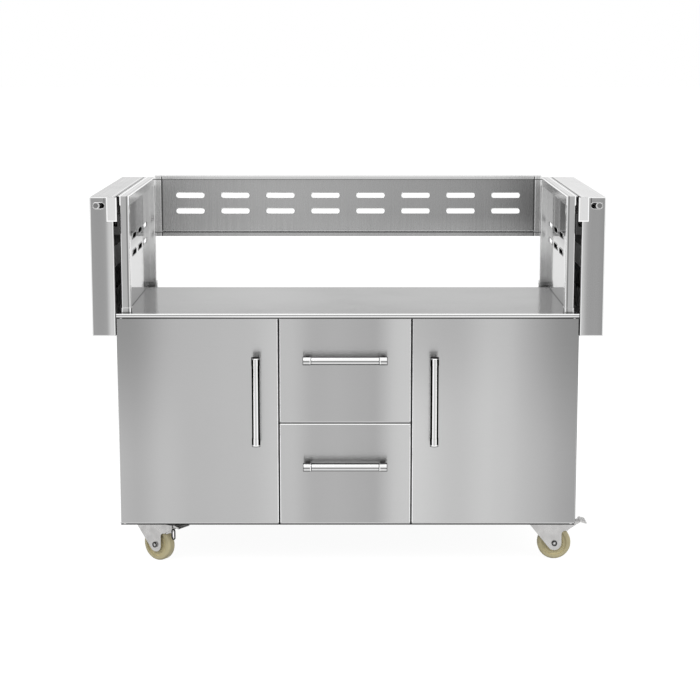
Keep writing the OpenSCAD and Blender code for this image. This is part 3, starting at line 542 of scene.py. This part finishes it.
left_bands = [(0, 172), (0.12, 167), (0.27, 178), (0.45, 174), (0.65, 176), (0.85, 179), (1, 187)]
right_bands = [(0, 195), (0.15, 187), (0.28, 182), (0.42, 188), (0.5, 187), (0.64, 180),
               (0.84, 165), (1, 151)]
drawer_bands = [(0, 180), (0.12, 177), (0.24, 166), (0.45, 166), (0.65, 162), (0.75, 164),
                (0.86, 183), (1, 190)]
for front, stops, side in [("left_door_panel", left_bands, -1), ("right_door_panel", right_bands, 1),
                           ("upper_drawer_front", drawer_bands, 0),
                           ("lower_drawer_front", drawer_bands, 0)]:
    rim_low, rim_high = (Vector(corner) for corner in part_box(front))
    print(front, "is", round((rim_high.x - rim_low.x) / MM, 1), "mm wide")
    # A softer grey along the bottom edge tones down the painted highlight there.
    lines = [line(Z, rim_low.z, 1.0, 1.6, 186)]
    painted_light_and_shade = [(corner_shade(front, side, 0.5), SHADE_TONE, 0.75)] if side else []
    # The right door also gets a painted shade towards its inner upper corner, and a dark painted shade
    # line along its outer edge.
    if side > 0:
        painted_light_and_shade.append((corner_shade(front, -side, 0.8, 0.45), SHADE_TONE, 0.36))
        lines.append(line(X, rim_high.x, -0.3, 1.3, 48))
    if front != "lower_drawer_front":
        rim_high.z += RIM_HIDDEN
    dress(steel(front, X, bands=across(front, X, stops), rough=(0.14, 0.24), depth=0.07,
                rim=(rim_low, rim_high), painted_light_and_shade=painted_light_and_shade + [(shaded_pan_side, GAP_SHADE_TONE, 1.0)], lines=lines,
                dull_shade=shaded_pan_side, coarse=0.6), front)
dress(steel("liner_steel", X, 165, rough=(0.3, 0.4), depth=0.14),
      "left_door_liner", "right_door_liner", "upper_drawer_box", "lower_drawer_box")

# %% [markdown]
# ## Cabinet, deck and upper frame
# The cabinet's walls are brushed upright and duller. The deck is nearly a mirror, with painted
# reflections in soft bands, a painted highlight on the bent edge along its raised front rim, and a
# painted shadow line behind that rim. The posts and rails are tube with ground corners, on which
# painted highlights show as white lines beside a darker flat, and the rails' tops are painted lighter.
# Such lines could be thin strips laid on the steel, but tones in the steel itself can't come loose or
# flicker.

# %% Cabinet and deck
# The front edges of the walls and of the base show only through the gaps, where they are painted dark
# and matt as shade.
WALL_FRONT = 21 * MM
shaded_front_edge = before(Y, door_y + WALL_FRONT, door_y + WALL_FRONT + 2 * MM)
dress(steel("cabinet_steel", Z, 165, rough=(0.26, 0.36), depth=0.12, painted_light_and_shade=[(shaded_front_edge, 24, 1.0)],
            dull_shade=shaded_front_edge),
      "left_side_panel", "right_side_panel", "cabinet_back_panel", "left_divider", "right_divider",
      "deck_braces")
dress(steel("base_steel", X, 110, rough=(0.3, 0.4), depth=0.12, painted_light_and_shade=[(shaded_front_edge, 30, 1.0)],
            dull_shade=shaded_front_edge), "base_pan")
deck_low, deck_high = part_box("deck_pan")
# The deck's bands are painted reflections. Its white rim lines are painted highlights on the rim's
# bends, the grey line between them is painted shade, and the line behind the rim a painted shadow.
deck_bands = [(0, 142), (0.06, 148), (0.14, 162), (0.24, 176), (0.34, 180), (0.48, 168),
              (0.7, 171), (0.92, 166), (1, 136)]
rim_lines = [line(Z, deck_high.z, -1.2, 1.3, 253), line(Z, deck_high.z, -3.4, 0.9, 105),
             line(Z, deck_high.z, -5.4, 1.0, 235), line(Y, deck_low.y, 19, 1.2, 150)]
dress(steel("deck_steel", X, bands=across("deck_pan", X, deck_bands), rough=(0.1, 0.16), depth=0.04,
            lines=rim_lines, coarse=0.4, grazing=0.78), "deck_pan")
print("deck width in mm:", round((deck_high.x - deck_low.x) / MM, 1))

# %% Upper frame
RAIL_LIP = 4.8 * MM
frame_low, frame_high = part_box("right_side_frame")
post_out, post_in = frame_high.x - RAIL_LIP, frame_low.x
tube = post_out - post_in
# The rails' tops are painted lighter, as light from above.
rail_top = past(Z, frame_high.z - 1.4 * MM, frame_high.z - 0.6 * MM)
# The outer sides of the posts lie in the dark slit behind the hanging shelves, and are painted dark and
# matt there as shade.
shaded_outer_face = all_of(past(OFF, post_out - 0.12 * MM, post_out - 0.02 * MM),
                    before(Z, frame_high.z - 2 * MM, frame_high.z - 1 * MM))
# The white tube lines are painted highlights on the ground corners, and the dark one is a painted shade
# line.
tube_lines = [line(OFF, post_out, -1.2, 1.5, 250), line(OFF, post_in, 6, 0.9, 95),
              line(OFF, post_in, 1.2, 1.2, 250), line(Y, frame_high.y - tube, -1.5, 2.4, 232)]
dress(steel("post_steel", Z, 168, rough=(0.14, 0.24), lines=tube_lines, dull_shade=shaded_outer_face,
            painted_light_and_shade=[(rail_top, 205, 0.8), (shaded_outer_face, 45, 1.0)]),
      "left_side_frame", "right_side_frame", "post_sockets")
# The mirror panels' bands are painted reflections, darker towards the top, and the dark line along
# their foot is a painted shadow.
mirror_bands = [(0, 215), (0.12, 228), (0.5, 230), (0.56, 195), (0.63, 158), (0.85, 148), (1, 140)]
vent_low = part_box("right_vent_panel")[0]
dress(steel("mirror_steel", Y, bands=across("right_vent_panel", Z, mirror_bands),
            rough=(0.03, 0.06), depth=0.02, lines=[line(Z, vent_low.z, 0.6, 1.0, 40)], grazing=0.74),
      "left_vent_panel", "right_vent_panel")
print("tube of the posts in mm:", round(tube / MM, 1))

# %% Rear vent panel
STRIP_END = 18 * MM
STRIP_EDGE = 10 * MM
LOWER_LIGHT_HEIGHT = 60 * MM
rear_low, rear_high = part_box("rear_vent_panel")
strip_in = rear_high.x - STRIP_END
strip_low, strip_high = rear_low.z + STRIP_EDGE, rear_high.z - STRIP_EDGE
# The rear panel's bands are painted reflections. Its end strips, its top strip and a band along its
# foot are painted lighter as light, the left strip more than the right, and its bends get painted
# highlights and dark painted shade lines.
rear_bands = [(0, 176), (0.05, 166), (0.12, 156), (0.3, 163), (0.55, 155), (0.8, 144),
              (0.95, 134), (1, 134)]
rear_lines = [line(OFF, strip_in, 0, 1.3, 85), line(OFF, strip_in, 2.6, 1.0, 235),
              line(OFF, rear_high.x, -1.2, 1.2, 240),
              line(Z, strip_high, 0, 1.0, 80), line(Z, rear_high.z, -1.0, 1.2, 225),
              line(Z, strip_low, 0, 1.0, 85), line(Z, strip_low, 2.4, 1.0, 200)]
rear_painted_light = [(before(X, -strip_in, -strip_in + 1 * MM), 212, 0.85),
               (past(X, strip_in - 1 * MM, strip_in), 184, 0.85),
               (past(Z, strip_high, strip_high + STRIP_EDGE * 0.2), 205, 0.8),
               (before(Z, rear_low.z, rear_low.z + LOWER_LIGHT_HEIGHT), 180, 0.5)]
dress(steel("vent_steel", Z, bands=across("rear_vent_panel", X, rear_bands), depth=0.045,
            painted_light_and_shade=rear_painted_light, lines=rear_lines), "rear_vent_panel")
print("rear panel height in mm:", round((rear_high.z - rear_low.z) / MM, 1))

# %% [markdown]
# ## Side shelves
# Each shelf is a pressed tray. Its end has a lighter band towards the cart, where the bright cover
# plate reflects in it, and painted highlights as white lines along its bends. The band could be left
# to real reflections, but in an all-white room they hardly show, so it is written into the tones as a
# painted reflection. The tops are painted lighter on the right shelf than on the left, as light
# falls, and a dark line in the slit beside each post is painted shade. The inside of the tray is
# painted dark and matt as shade. The brackets behind are painted black.

# %% Side shelves
left_end = [(0, 150), (0.25, 147), (0.5, 149), (0.6, 158), (0.7, 185), (0.81, 193), (1, 178)]
right_end = [(0, 178), (0.12, 190), (0.22, 175), (0.32, 156), (0.45, 148), (0.75, 147), (1, 140)]
for name, side, end_bands, top_tone in [("left_shelf", -1, left_end, 178),
                                        ("right_shelf", 1, right_end, 208)]:
    low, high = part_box(name)
    inner, outer = (low.x, high.x) if side > 0 else (high.x, low.x)
    # The top gets a painted grey of its own, lighter on the right shelf, as light falls, and the inside
    # of the tray is painted dark and matt as shade.
    top = past(Z, high.z - 1.6 * MM, high.z - 0.8 * MM)
    shaded_hollow = all_of(past(Y, low.y + NEAR_SKIN, low.y + FAR_SKIN),
                    before(Y, high.y - FAR_SKIN, high.y - NEAR_SKIN),
                    before(Z, high.z - FAR_SKIN, high.z - NEAR_SKIN),
                    before(X, outer - FAR_SKIN, outer - NEAR_SKIN) if side > 0
                    else past(X, outer + NEAR_SKIN, outer + FAR_SKIN))
    # The white fold lines are painted highlights, and the dark line in the slit beside the post is
    # painted shade.
    fold_lines = [line(X, outer, -side * 1.3, 1.2, 232), line(Z, high.z, -1.6, 1.2, 240),
                  line(Z, low.z, 1.4, 1.2, 225), line(X, inner, side * 7.4, 1.0, 226),
                  line(X, inner, side * 0.4, 1.5, 24)]
    dress(steel(name + "_steel", Y, bands=across(name, X, end_bands), rough=(0.16, 0.26), depth=0.03,
                painted_light_and_shade=[(top, top_tone, 1.0), (shaded_hollow, 60, 1.0)], lines=fold_lines, dull_shade=shaded_hollow), name)
    print(name, "is", round((high.z - low.z) / MM, 1), "mm high as it hangs")
cover_low, cover_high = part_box("shelf_cover_plates")
# The cover plates' white lines are painted highlights along their edges.
cover_lines = [line(OFF, cover_high.x, -1.0, 1.0, 252), line(Z, cover_low.z, 1.2, 1.2, 250),
               line(OFF, cover_high.x, -22, 1.2, 245)]
dress(steel("cover_steel", Z, 212, rough=(0.1, 0.18), depth=0.04, lines=cover_lines),
      "shelf_cover_plates")

# %% [markdown]
# ## Handles
# A polished bar mirrors the whole room round it, so it is never one grey: a thin bright line, then a
# dark one, run along each side. Its back is left bright, because the front behind it already darkens
# what it mirrors. Those painted reflections are a row of tones round the bar's own axis, worked out
# from Object coordinates, so they stay on the bar from wherever it is seen. A dark groove marks where
# the sleeves of the level bars begin, with a painted highlight beside it; the upright bars get a
# painted highlight on their bevelled ends, and both kinds a dark painted shade line at their very ends.

# %% Handles
SLEEVE = 19 * MM
BAR_R = 10 * MM
BAR_GRAZING = 0.3
BAR_ROUGH, BAR_SMEAR = 0.12, 0.06
POST_TONE = 150


def bar_steel(name, axis, stops, end_lines):
    """Painted reflections as tones round the bar's axis: the angle from the front, from -180 to 180
    degrees, as a share.
    end_lines are (inset from each end, half of the line's width, display grey)."""
    made, tree, place = new_material(name)
    low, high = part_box(name)
    side = X if axis == Z else Z
    off = maths(tree, "SUBTRACT", coordinate(tree, place, side), (low[side] + high[side]) / 2)
    front = maths(tree, "SUBTRACT", low.y + BAR_R, coordinate(tree, place, Y))
    share = add(tree, "ShaderNodeMapRange", {"Value": maths(tree, "ARCTAN2", off, front),
                                             "From Min": -math.pi, "From Max": math.pi})
    toned = graded(tree, share.outputs["Result"], stops, "LINEAR")
    behind = past(Y, low.y + BAR_R * 2.05, low.y + BAR_R * 2.4)
    toned = mix(tree, behind(tree, place), toned, display(POST_TONE))
    for inset, half, shown in end_lines:
        for at in (low[axis] + inset, high[axis] - inset):
            toned = mix(tree, line_mask(tree, place, axis, at, half), toned, display(shown))
    smeared = uneven(tree, clouds(tree, place, 60.0), BAR_SMEAR, BAR_ROUGH)
    shader = finish_material(tree, toned, smeared, Metallic=1.0)
    shader.inputs["Specular Tint"].default_value = grey(BAR_GRAZING)
    dress(made, name)


half_turn = [(0.5, 186), (0.54, 200), (0.556, 252), (0.582, 252), (0.594, 60), (0.602, 5), (0.7, 5),
             (0.725, 120), (0.75, 240), (0.8, 255), (1.0, 255)]
upright_bar = [(1 - share, shown) for share, shown in reversed(half_turn[1:])] + half_turn
level_bar = [(0.0, 255), (0.18, 255), (0.26, 140), (0.31, 20), (0.36, 20), (0.385, 190),
             (0.43, 215), (0.47, 190), (0.49, 95), (0.51, 95), (0.53, 240), (0.6, 255),
             (0.66, 250), (0.69, 60), (0.74, 30), (0.78, 210), (0.86, 255), (1.0, 255)]
bevel_lines = [(0.4 * MM, 1.2 * MM, 30), (2.6 * MM, 1.0 * MM, 250)]
sleeve_lines = [(SLEEVE, 0.8 * MM, 45), (SLEEVE - 1.8 * MM, 0.8 * MM, 250), (0.3 * MM, 0.9 * MM, 40)]
for handle in ("left_door_handle", "right_door_handle"):
    bar_steel(handle, Z, upright_bar, bevel_lines)
for handle in ("upper_drawer_handle", "lower_drawer_handle"):
    bar_steel(handle, X, level_bar, sleeve_lines)
print("tones round an upright bar:", len(upright_bar), "and round a level one:", len(level_bar))

# %% [markdown]
# ## Small metal parts
# Pins and bushes are polished, and the drawer slides and casters are zinc plated: bright, with a
# faint cloudiness of the plating bath and fine upright scratches from the press. Each could have a
# material of its own kind, but only their tone, gloss and cloudiness differ, so one function makes
# them all.

# %% Polished and plated parts
PRESS_MARKS = (900.0, 900.0, 25.0)
MARK_DEPTH = 0.3


def plated(name, tone, rough, spangle, warm=0.0):
    """A smooth metal. spangle is how much the plating's cloudiness changes its tone."""
    made, tree, place = new_material(name)
    cloud = clouds(tree, place, 40.0)
    marks = add(tree, "ShaderNodeGroup", {"Vector": place, "Stretch": PRESS_MARKS,
                                          "Depth": MARK_DEPTH}, node_tree=grain)
    toned = mix(tree, times(tree, cloud, spangle), display(tone, warm), display(tone * 0.8, warm))
    toned = vector_step(tree, "MULTIPLY", toned, marks.outputs["Tone"])
    finish_material(tree, toned, uneven(tree, cloud, 0.1, rough), Metallic=1.0)
    return made


bright_steel = plated("bright_steel", 205, 0.12, 0.2)
zinc = plated("zinc", 190, 0.26, 0.25, 0.01)
pin_steel = plated("pin_steel", 120, 0.14, 0.3)
# This dark metal stands for shade: it draws the painted shade inside the side panels' slots and the
# painted shadow round the axle bolts.
shade_dark_metal = plated("shade_dark_metal", 70, 0.3, 0.3)
print("small metals:", [metal.name for metal in (bright_steel, zinc, pin_steel, shade_dark_metal)])

# %% [markdown]
# ## Wheels, rubber and black paint
# The wheels are cast nylon, tan and slightly waxy, with a faint mottle. The bumpers and catches are
# black rubber, and the shelf brackets are painted black. The slots of the record then say which of
# the small parts takes which finish.

# %% Nylon, rubber and paint
def moulded(name, colour, rough, mottle, size):
    """A plastic, rubber or paint whose colour varies in soft clouds. mottle is how much darker the
    clouds are."""
    made, tree, place = new_material(name)
    cloud = clouds(tree, place, size)
    darker = tuple(c * (1 - mottle) for c in colour[:3]) + (1.0,)
    finish_material(tree, mix(tree, cloud, colour, darker), uneven(tree, cloud, 0.08, rough))
    return made


nylon = moulded("nylon", (linear(232), linear(221), linear(178), 1.0), 0.42, 0.08, 60.0)
rubber = moulded("rubber", grey(0.02), 0.6, 0.3, 200.0)
black_paint = moulded("black_paint", grey(0.012), 0.35, 0.3, 80.0)
finishes = {"bright_steel": bright_steel, "rail_zinc": zinc, "caster_zinc": zinc, "brake_zinc": zinc,
            "wheel_nylon": nylon, "black_rubber": rubber, "bracket_black": black_paint}
for entry in frame["record"]["subparts"]:
    if entry["material_slot"] in finishes:
        dress(finishes[entry["material_slot"]], entry["node"])
dress(pin_steel, "shelf_pivot_pins")
print("materials:", len(bpy.data.materials))

# %% [markdown]
# ## Small pieces from profiles and paths
# The last details are lips, beads, rings and screw heads. Curves with a round section could make
# some of them, but they would have to be converted and joined. Two shapes make them all: a round bead
# that is carried along a path, and a profile that is turned about an axis. Both are worked out as
# whole arrays, one row of points for each step of the path or of the turn.

# %% Bead and turned shapes
def new_piece(name, shape, material, body):
    """A smooth mesh piece from points and faces, which rides on a body and takes the given material."""
    points, faces = shape
    mesh = bpy.data.meshes.new(name)
    mesh.from_pydata(points.tolist(), [], faces.tolist())
    shell = bmesh.new()
    shell.from_mesh(mesh)
    bmesh.ops.remove_doubles(shell, verts=shell.verts, dist=0.001 * MM)
    bmesh.ops.recalc_face_normals(shell, faces=shell.faces)
    shell.to_mesh(mesh)
    shell.free()
    mesh.polygons.foreach_set("use_smooth", np.ones(len(mesh.polygons), dtype=bool))
    mesh.materials.append(material)
    made = bpy.data.objects.new(name, mesh)
    scene.collection.objects.link(made)
    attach(made, body)


def wall_faces(rows, columns, closed_rows):
    """Quads between the points of a grid that closes round its columns, and its rows if asked."""
    r, c = np.meshgrid(np.arange(rows if closed_rows else rows - 1), np.arange(columns), indexing="ij")
    r2, c2 = (r + 1) % rows, (c + 1) % columns
    corners = [r * columns + c, r * columns + c2, r2 * columns + c2, r2 * columns + c]
    return np.stack(corners, -1).reshape(-1, 4)


def bead(path, radius, normal, sides=8):
    """A closed round bead. Each point of the path carries a circle of the radius, which stands on the
    normal of the path's plane and on the direction square to both the path and that normal."""
    ahead = np.roll(path, -1, 0) - np.roll(path, 1, 0)
    ahead /= np.linalg.norm(ahead, axis=1, keepdims=True)
    up = np.broadcast_to(np.asarray(normal, float), path.shape)
    beside = np.cross(ahead, up)
    turn = np.arange(sides) * 2 * math.pi / sides
    ring = path[:, None] + radius * (np.cos(turn)[None, :, None] * beside[:, None]
                                     + np.sin(turn)[None, :, None] * up[:, None])
    return ring.reshape(-1, 3), wall_faces(len(path), sides, True)


def together(parts):
    """Several pairs of points and faces as one."""
    starts = np.cumsum([0] + [len(points) for points, _ in parts[:-1]])
    return (np.concatenate([points for points, _ in parts]),
            np.concatenate([faces + start for (_, faces), start in zip(parts, starts)]))


def slot_path(length, height, steps=12):
    """The outline of a slot with round ends, flat: two half circles of half the height, whose centres
    stand half the rest of the length to the left and right of the middle."""
    turn = np.linspace(-math.pi / 2, math.pi / 2, steps)
    reach = (length - height) / 2
    right = np.stack([reach + np.cos(turn) * height / 2, np.sin(turn) * height / 2], -1)
    return np.concatenate([right, -right])


def slot_beads(outline, radius, normal, centres):
    """A bead round each centre. The outline's length runs level and its height upright, both square
    to the normal."""
    level = np.array((0.0, 1.0, 0.0) if normal[X] else (1.0, 0.0, 0.0))
    flat = outline[:, :1] * level + outline[:, 1:] * np.array((0.0, 0.0, 1.0))
    return together([bead(np.array(centre) + flat, radius, normal) for centre in centres])


def turned(profile, centre, axis, sides=32):
    """A profile of (radius, distance along the axis) turned about the axis: each point goes round
    the circle of its radius. The profile closes on itself, or starts and ends on the axis."""
    axis = np.asarray(axis, float) / np.linalg.norm(axis)
    side = np.cross(axis, (0.0, 0.0, 1.0) if abs(axis[2]) < 0.9 else (1.0, 0.0, 0.0))
    side /= np.linalg.norm(side)
    third = np.cross(axis, side)
    turn = np.arange(sides) * 2 * math.pi / sides
    spoke = np.cos(turn)[:, None] * side + np.sin(turn)[:, None] * third
    radius, along = np.asarray(profile, float).T
    points = np.asarray(centre, float) + along[:, None, None] * axis + radius[:, None, None] * spoke
    return points.reshape(-1, 3), wall_faces(len(radius), sides, radius[0] > 0)


# %% [markdown]
# ## Lips of the slots
# A punched slot has a small rolled lip. Without it a slot looks like a hole in paper. The outline of
# a slot is carried once round each place, as a thin bead on the side that is seen. The side panels
# also get a darker bead inside each slot, on the cut metal, which is painted shade.

# %% Lips of the vent slots
SLOT_LEN, SLOT_H, SLOT_PITCH, ROW_PITCH = 75 * MM, 13.5 * MM, 118.2 * MM, 41 * MM
REAR_DROP, SIDE_DROP = 52.5 * MM, 115 * MM
LIP_R = 0.9 * MM
lip_path = slot_path(SLOT_LEN + LIP_R, SLOT_H + LIP_R)
cut_path = slot_path(SLOT_LEN - LIP_R, SLOT_H - LIP_R)
lip_steel = steel("lip_steel", X, 205, rough=(0.1, 0.2), depth=0.03)


def slot_rows(columns):
    """Two rows of slots: how far along from the middle each slot is, and how far below the upper
    row."""
    return [((column - (columns - 1) / 2) * SLOT_PITCH, row * ROW_PITCH)
            for row in (0, 1) for column in range(columns)]


rear_face = rear_high.y - 1.2 * MM
behind = [(along, rear_face, rear_high.z - REAR_DROP - down) for along, down in slot_rows(8)]
new_piece("rear_slot_lips", slot_beads(lip_path, LIP_R, (0, -1, 0), behind), lip_steel, "cart")
middle_y = (frame_low.y + frame_high.y) / 2
for name, side in [("left", -1), ("right", 1)]:
    for kind, path, radius, inset, finish in [("_vent_lips", lip_path, LIP_R * 1.3, 0.0, lip_steel),
                                              ("_vent_edges", cut_path, LIP_R, 0.3 * MM, shade_dark_metal)]:
        beside = [(side * (vent_low.x + inset), middle_y + along, frame_high.z - SIDE_DROP - down)
                  for along, down in slot_rows(4)]
        new_piece(name + kind, slot_beads(path, radius, (-side, 0, 0), beside), finish, "cart")
print("lips:", len(behind), "behind and", len(beside), "on each side")

# %% Lips of the shelves' pin slots
PIN_IN, PIN_DROP = 14.5 * MM, 20.5 * MM
PIN_SLOT, PIN_TRAVEL = 14 * MM, 13 * MM
pin_path = slot_path(PIN_SLOT + PIN_TRAVEL + LIP_R, PIN_SLOT + LIP_R)
for name, side in [("left_shelf", -1), ("right_shelf", 1)]:
    low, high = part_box(name)
    slot_x = (high.x if side > 0 else low.x) - side * (PIN_IN + PIN_TRAVEL / 2)
    ends = [slot_beads(pin_path, LIP_R, (0, out, 0), [(slot_x, y, high.z - PIN_DROP)])
            for y, out in [(low.y, -1), (high.y, 1)]]
    new_piece(name + "_slot_lips", together(ends), lip_steel, name)
    print(name, "has its pin slots", round(abs(slot_x) / MM, 1), "mm from the middle")

# %% [markdown]
# ## Rings and caps of the casters
# The axle bolt has a dark ring round a bright button, whose dark tone is a painted shadow round the
# head, and the web of the nylon wheel carries a moulded ring. Both are turned about the wheel's own
# axis, which the frame's joints give.

# %% Rings and caps of the casters
HEAD_FACE = 19.7 * MM
WEB_FACE = 8 * MM
joints = {joint["name"]: joint for joint in frame["record"]["behaviour"]["joints"]}
ring_profile = np.array([(3.6, -0.2), (3.7, 0.5), (4.5, 0.9), (5.8, 0.8), (6.8, 0.2), (6.8, -1.2),
                         (6.3, -1.2), (6.3, -0.2)]) * MM
button_profile = np.array([(0, -0.1), (1.6, -0.2), (2.7, -0.6), (3.1, -1.2), (3.1, -2.0),
                           (0, -2.0)]) * MM
web_profile = np.array([(21, 0), (21.3, 0.8), (22, 1.1), (22.7, 0.8), (23, 0), (22.7, -0.8),
                        (22, -1.1), (21.3, -0.8)]) * MM
for corner in ("front_left", "front_right", "rear_left", "rear_right"):
    roll = joints[corner + "_roll"]
    centre, axis = np.array(roll["pos_m"]), np.array(roll["axis"])
    head = centre - axis * HEAD_FACE
    for kind, profile, finish in [("_bolt_ring", ring_profile, shade_dark_metal),
                                  ("_bolt_button", button_profile, bright_steel)]:
        new_piece(corner + kind, turned(profile, head, -axis), finish, corner + "_caster")
    webs = [turned(web_profile, centre + axis * side * WEB_FACE, axis, 48) for side in (-1, 1)]
    new_piece(corner + "_web_rings", together(webs), nylon, corner + "_wheel")
print("wheel axes:", [name for name in joints if name.endswith("_roll")])

# %% [markdown]
# ## Wire loop, screws and foot beads
# A wire loop hangs from the arm of the left front caster. Each handle is held from behind by two
# screws with domed heads, and a bead closes each front post's socket.

# %% Wire loop
WIRE_R = 1.8 * MM
LOOP_SIDE, LOOP_AHEAD, LOOP_Z = -15.25 * MM, 80 * MM, 73.5 * MM
swivel = np.array(joints["front_left_swivel"]["pos_m"]) * (1, 1, 0)
wheel_axis = np.array(joints["front_left_roll"]["axis"])
ahead = np.array((wheel_axis[1], -wheel_axis[0], 0.0))
loop = slot_path(24 * MM, 8.5 * MM, 16)
loop_points = (swivel + wheel_axis * LOOP_SIDE + ahead * (LOOP_AHEAD + loop[:, 1:2])
               + np.array((0, 0, 1.0)) * (LOOP_Z + loop[:, 0:1]))
new_piece("front_left_wire_loop", bead(loop_points, WIRE_R, wheel_axis), black_paint,
          "front_left_caster")
loop_foot = loop_points[:, Z].min() - WIRE_R
print("foot of the wire loop in mm above the floor:", round(loop_foot / MM, 1))

# %% Handle screws
POST_IN = SLEEVE / 2
DOME = np.array([(0, 2.0), (1.6, 1.85), (3.2, 1.25), (4.3, 0.4), (4.5, 0.0), (0, 0.0)]) * MM
for body, axis, back in [("left_door", Z, 14.5), ("right_door", Z, 14.5),
                         ("upper_drawer", X, 15.5), ("lower_drawer", X, 15.5)]:
    low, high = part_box(body + "_handle")
    middle = (np.array(low) + np.array(high)) / 2
    middle[Y] = door_y + back * MM
    step = np.eye(3)[axis] * ((high[axis] - low[axis]) / 2 - POST_IN)
    heads = [turned(DOME, middle + sign * step, (0, 1, 0), 24) for sign in (-1, 1)]
    new_piece(body + "_handle_screws", together(heads), bright_steel, body)
    print(body, "has its handle screws", round(2 * step.max() / MM, 1), "mm apart")

# %% Foot beads
BEAD_R = 0.9 * MM
ROUNDING = 0.18
POST_BACK = 20 * MM
foot_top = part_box("post_sockets")[1].z
turn = np.linspace(0, 2 * math.pi, 64, endpoint=False)
round_trip = np.stack([np.cos(turn), np.sin(turn)], -1)
# A low power of the cosine and the sine pushes a circle out towards the corners of a square.
square = np.sign(round_trip) * np.abs(round_trip) ** ROUNDING * (tube / 2 + 0.5 * MM)
feet = []
for side in (-1, 1):
    flat = square + (side * (post_out + post_in) / 2, door_y + POST_BACK + tube / 2)
    feet.append(bead(np.column_stack([flat, np.full(len(flat), foot_top)]), BEAD_R, (0, 0, 1)))
new_piece("foot_beads", together(feet), lip_steel, "cart")
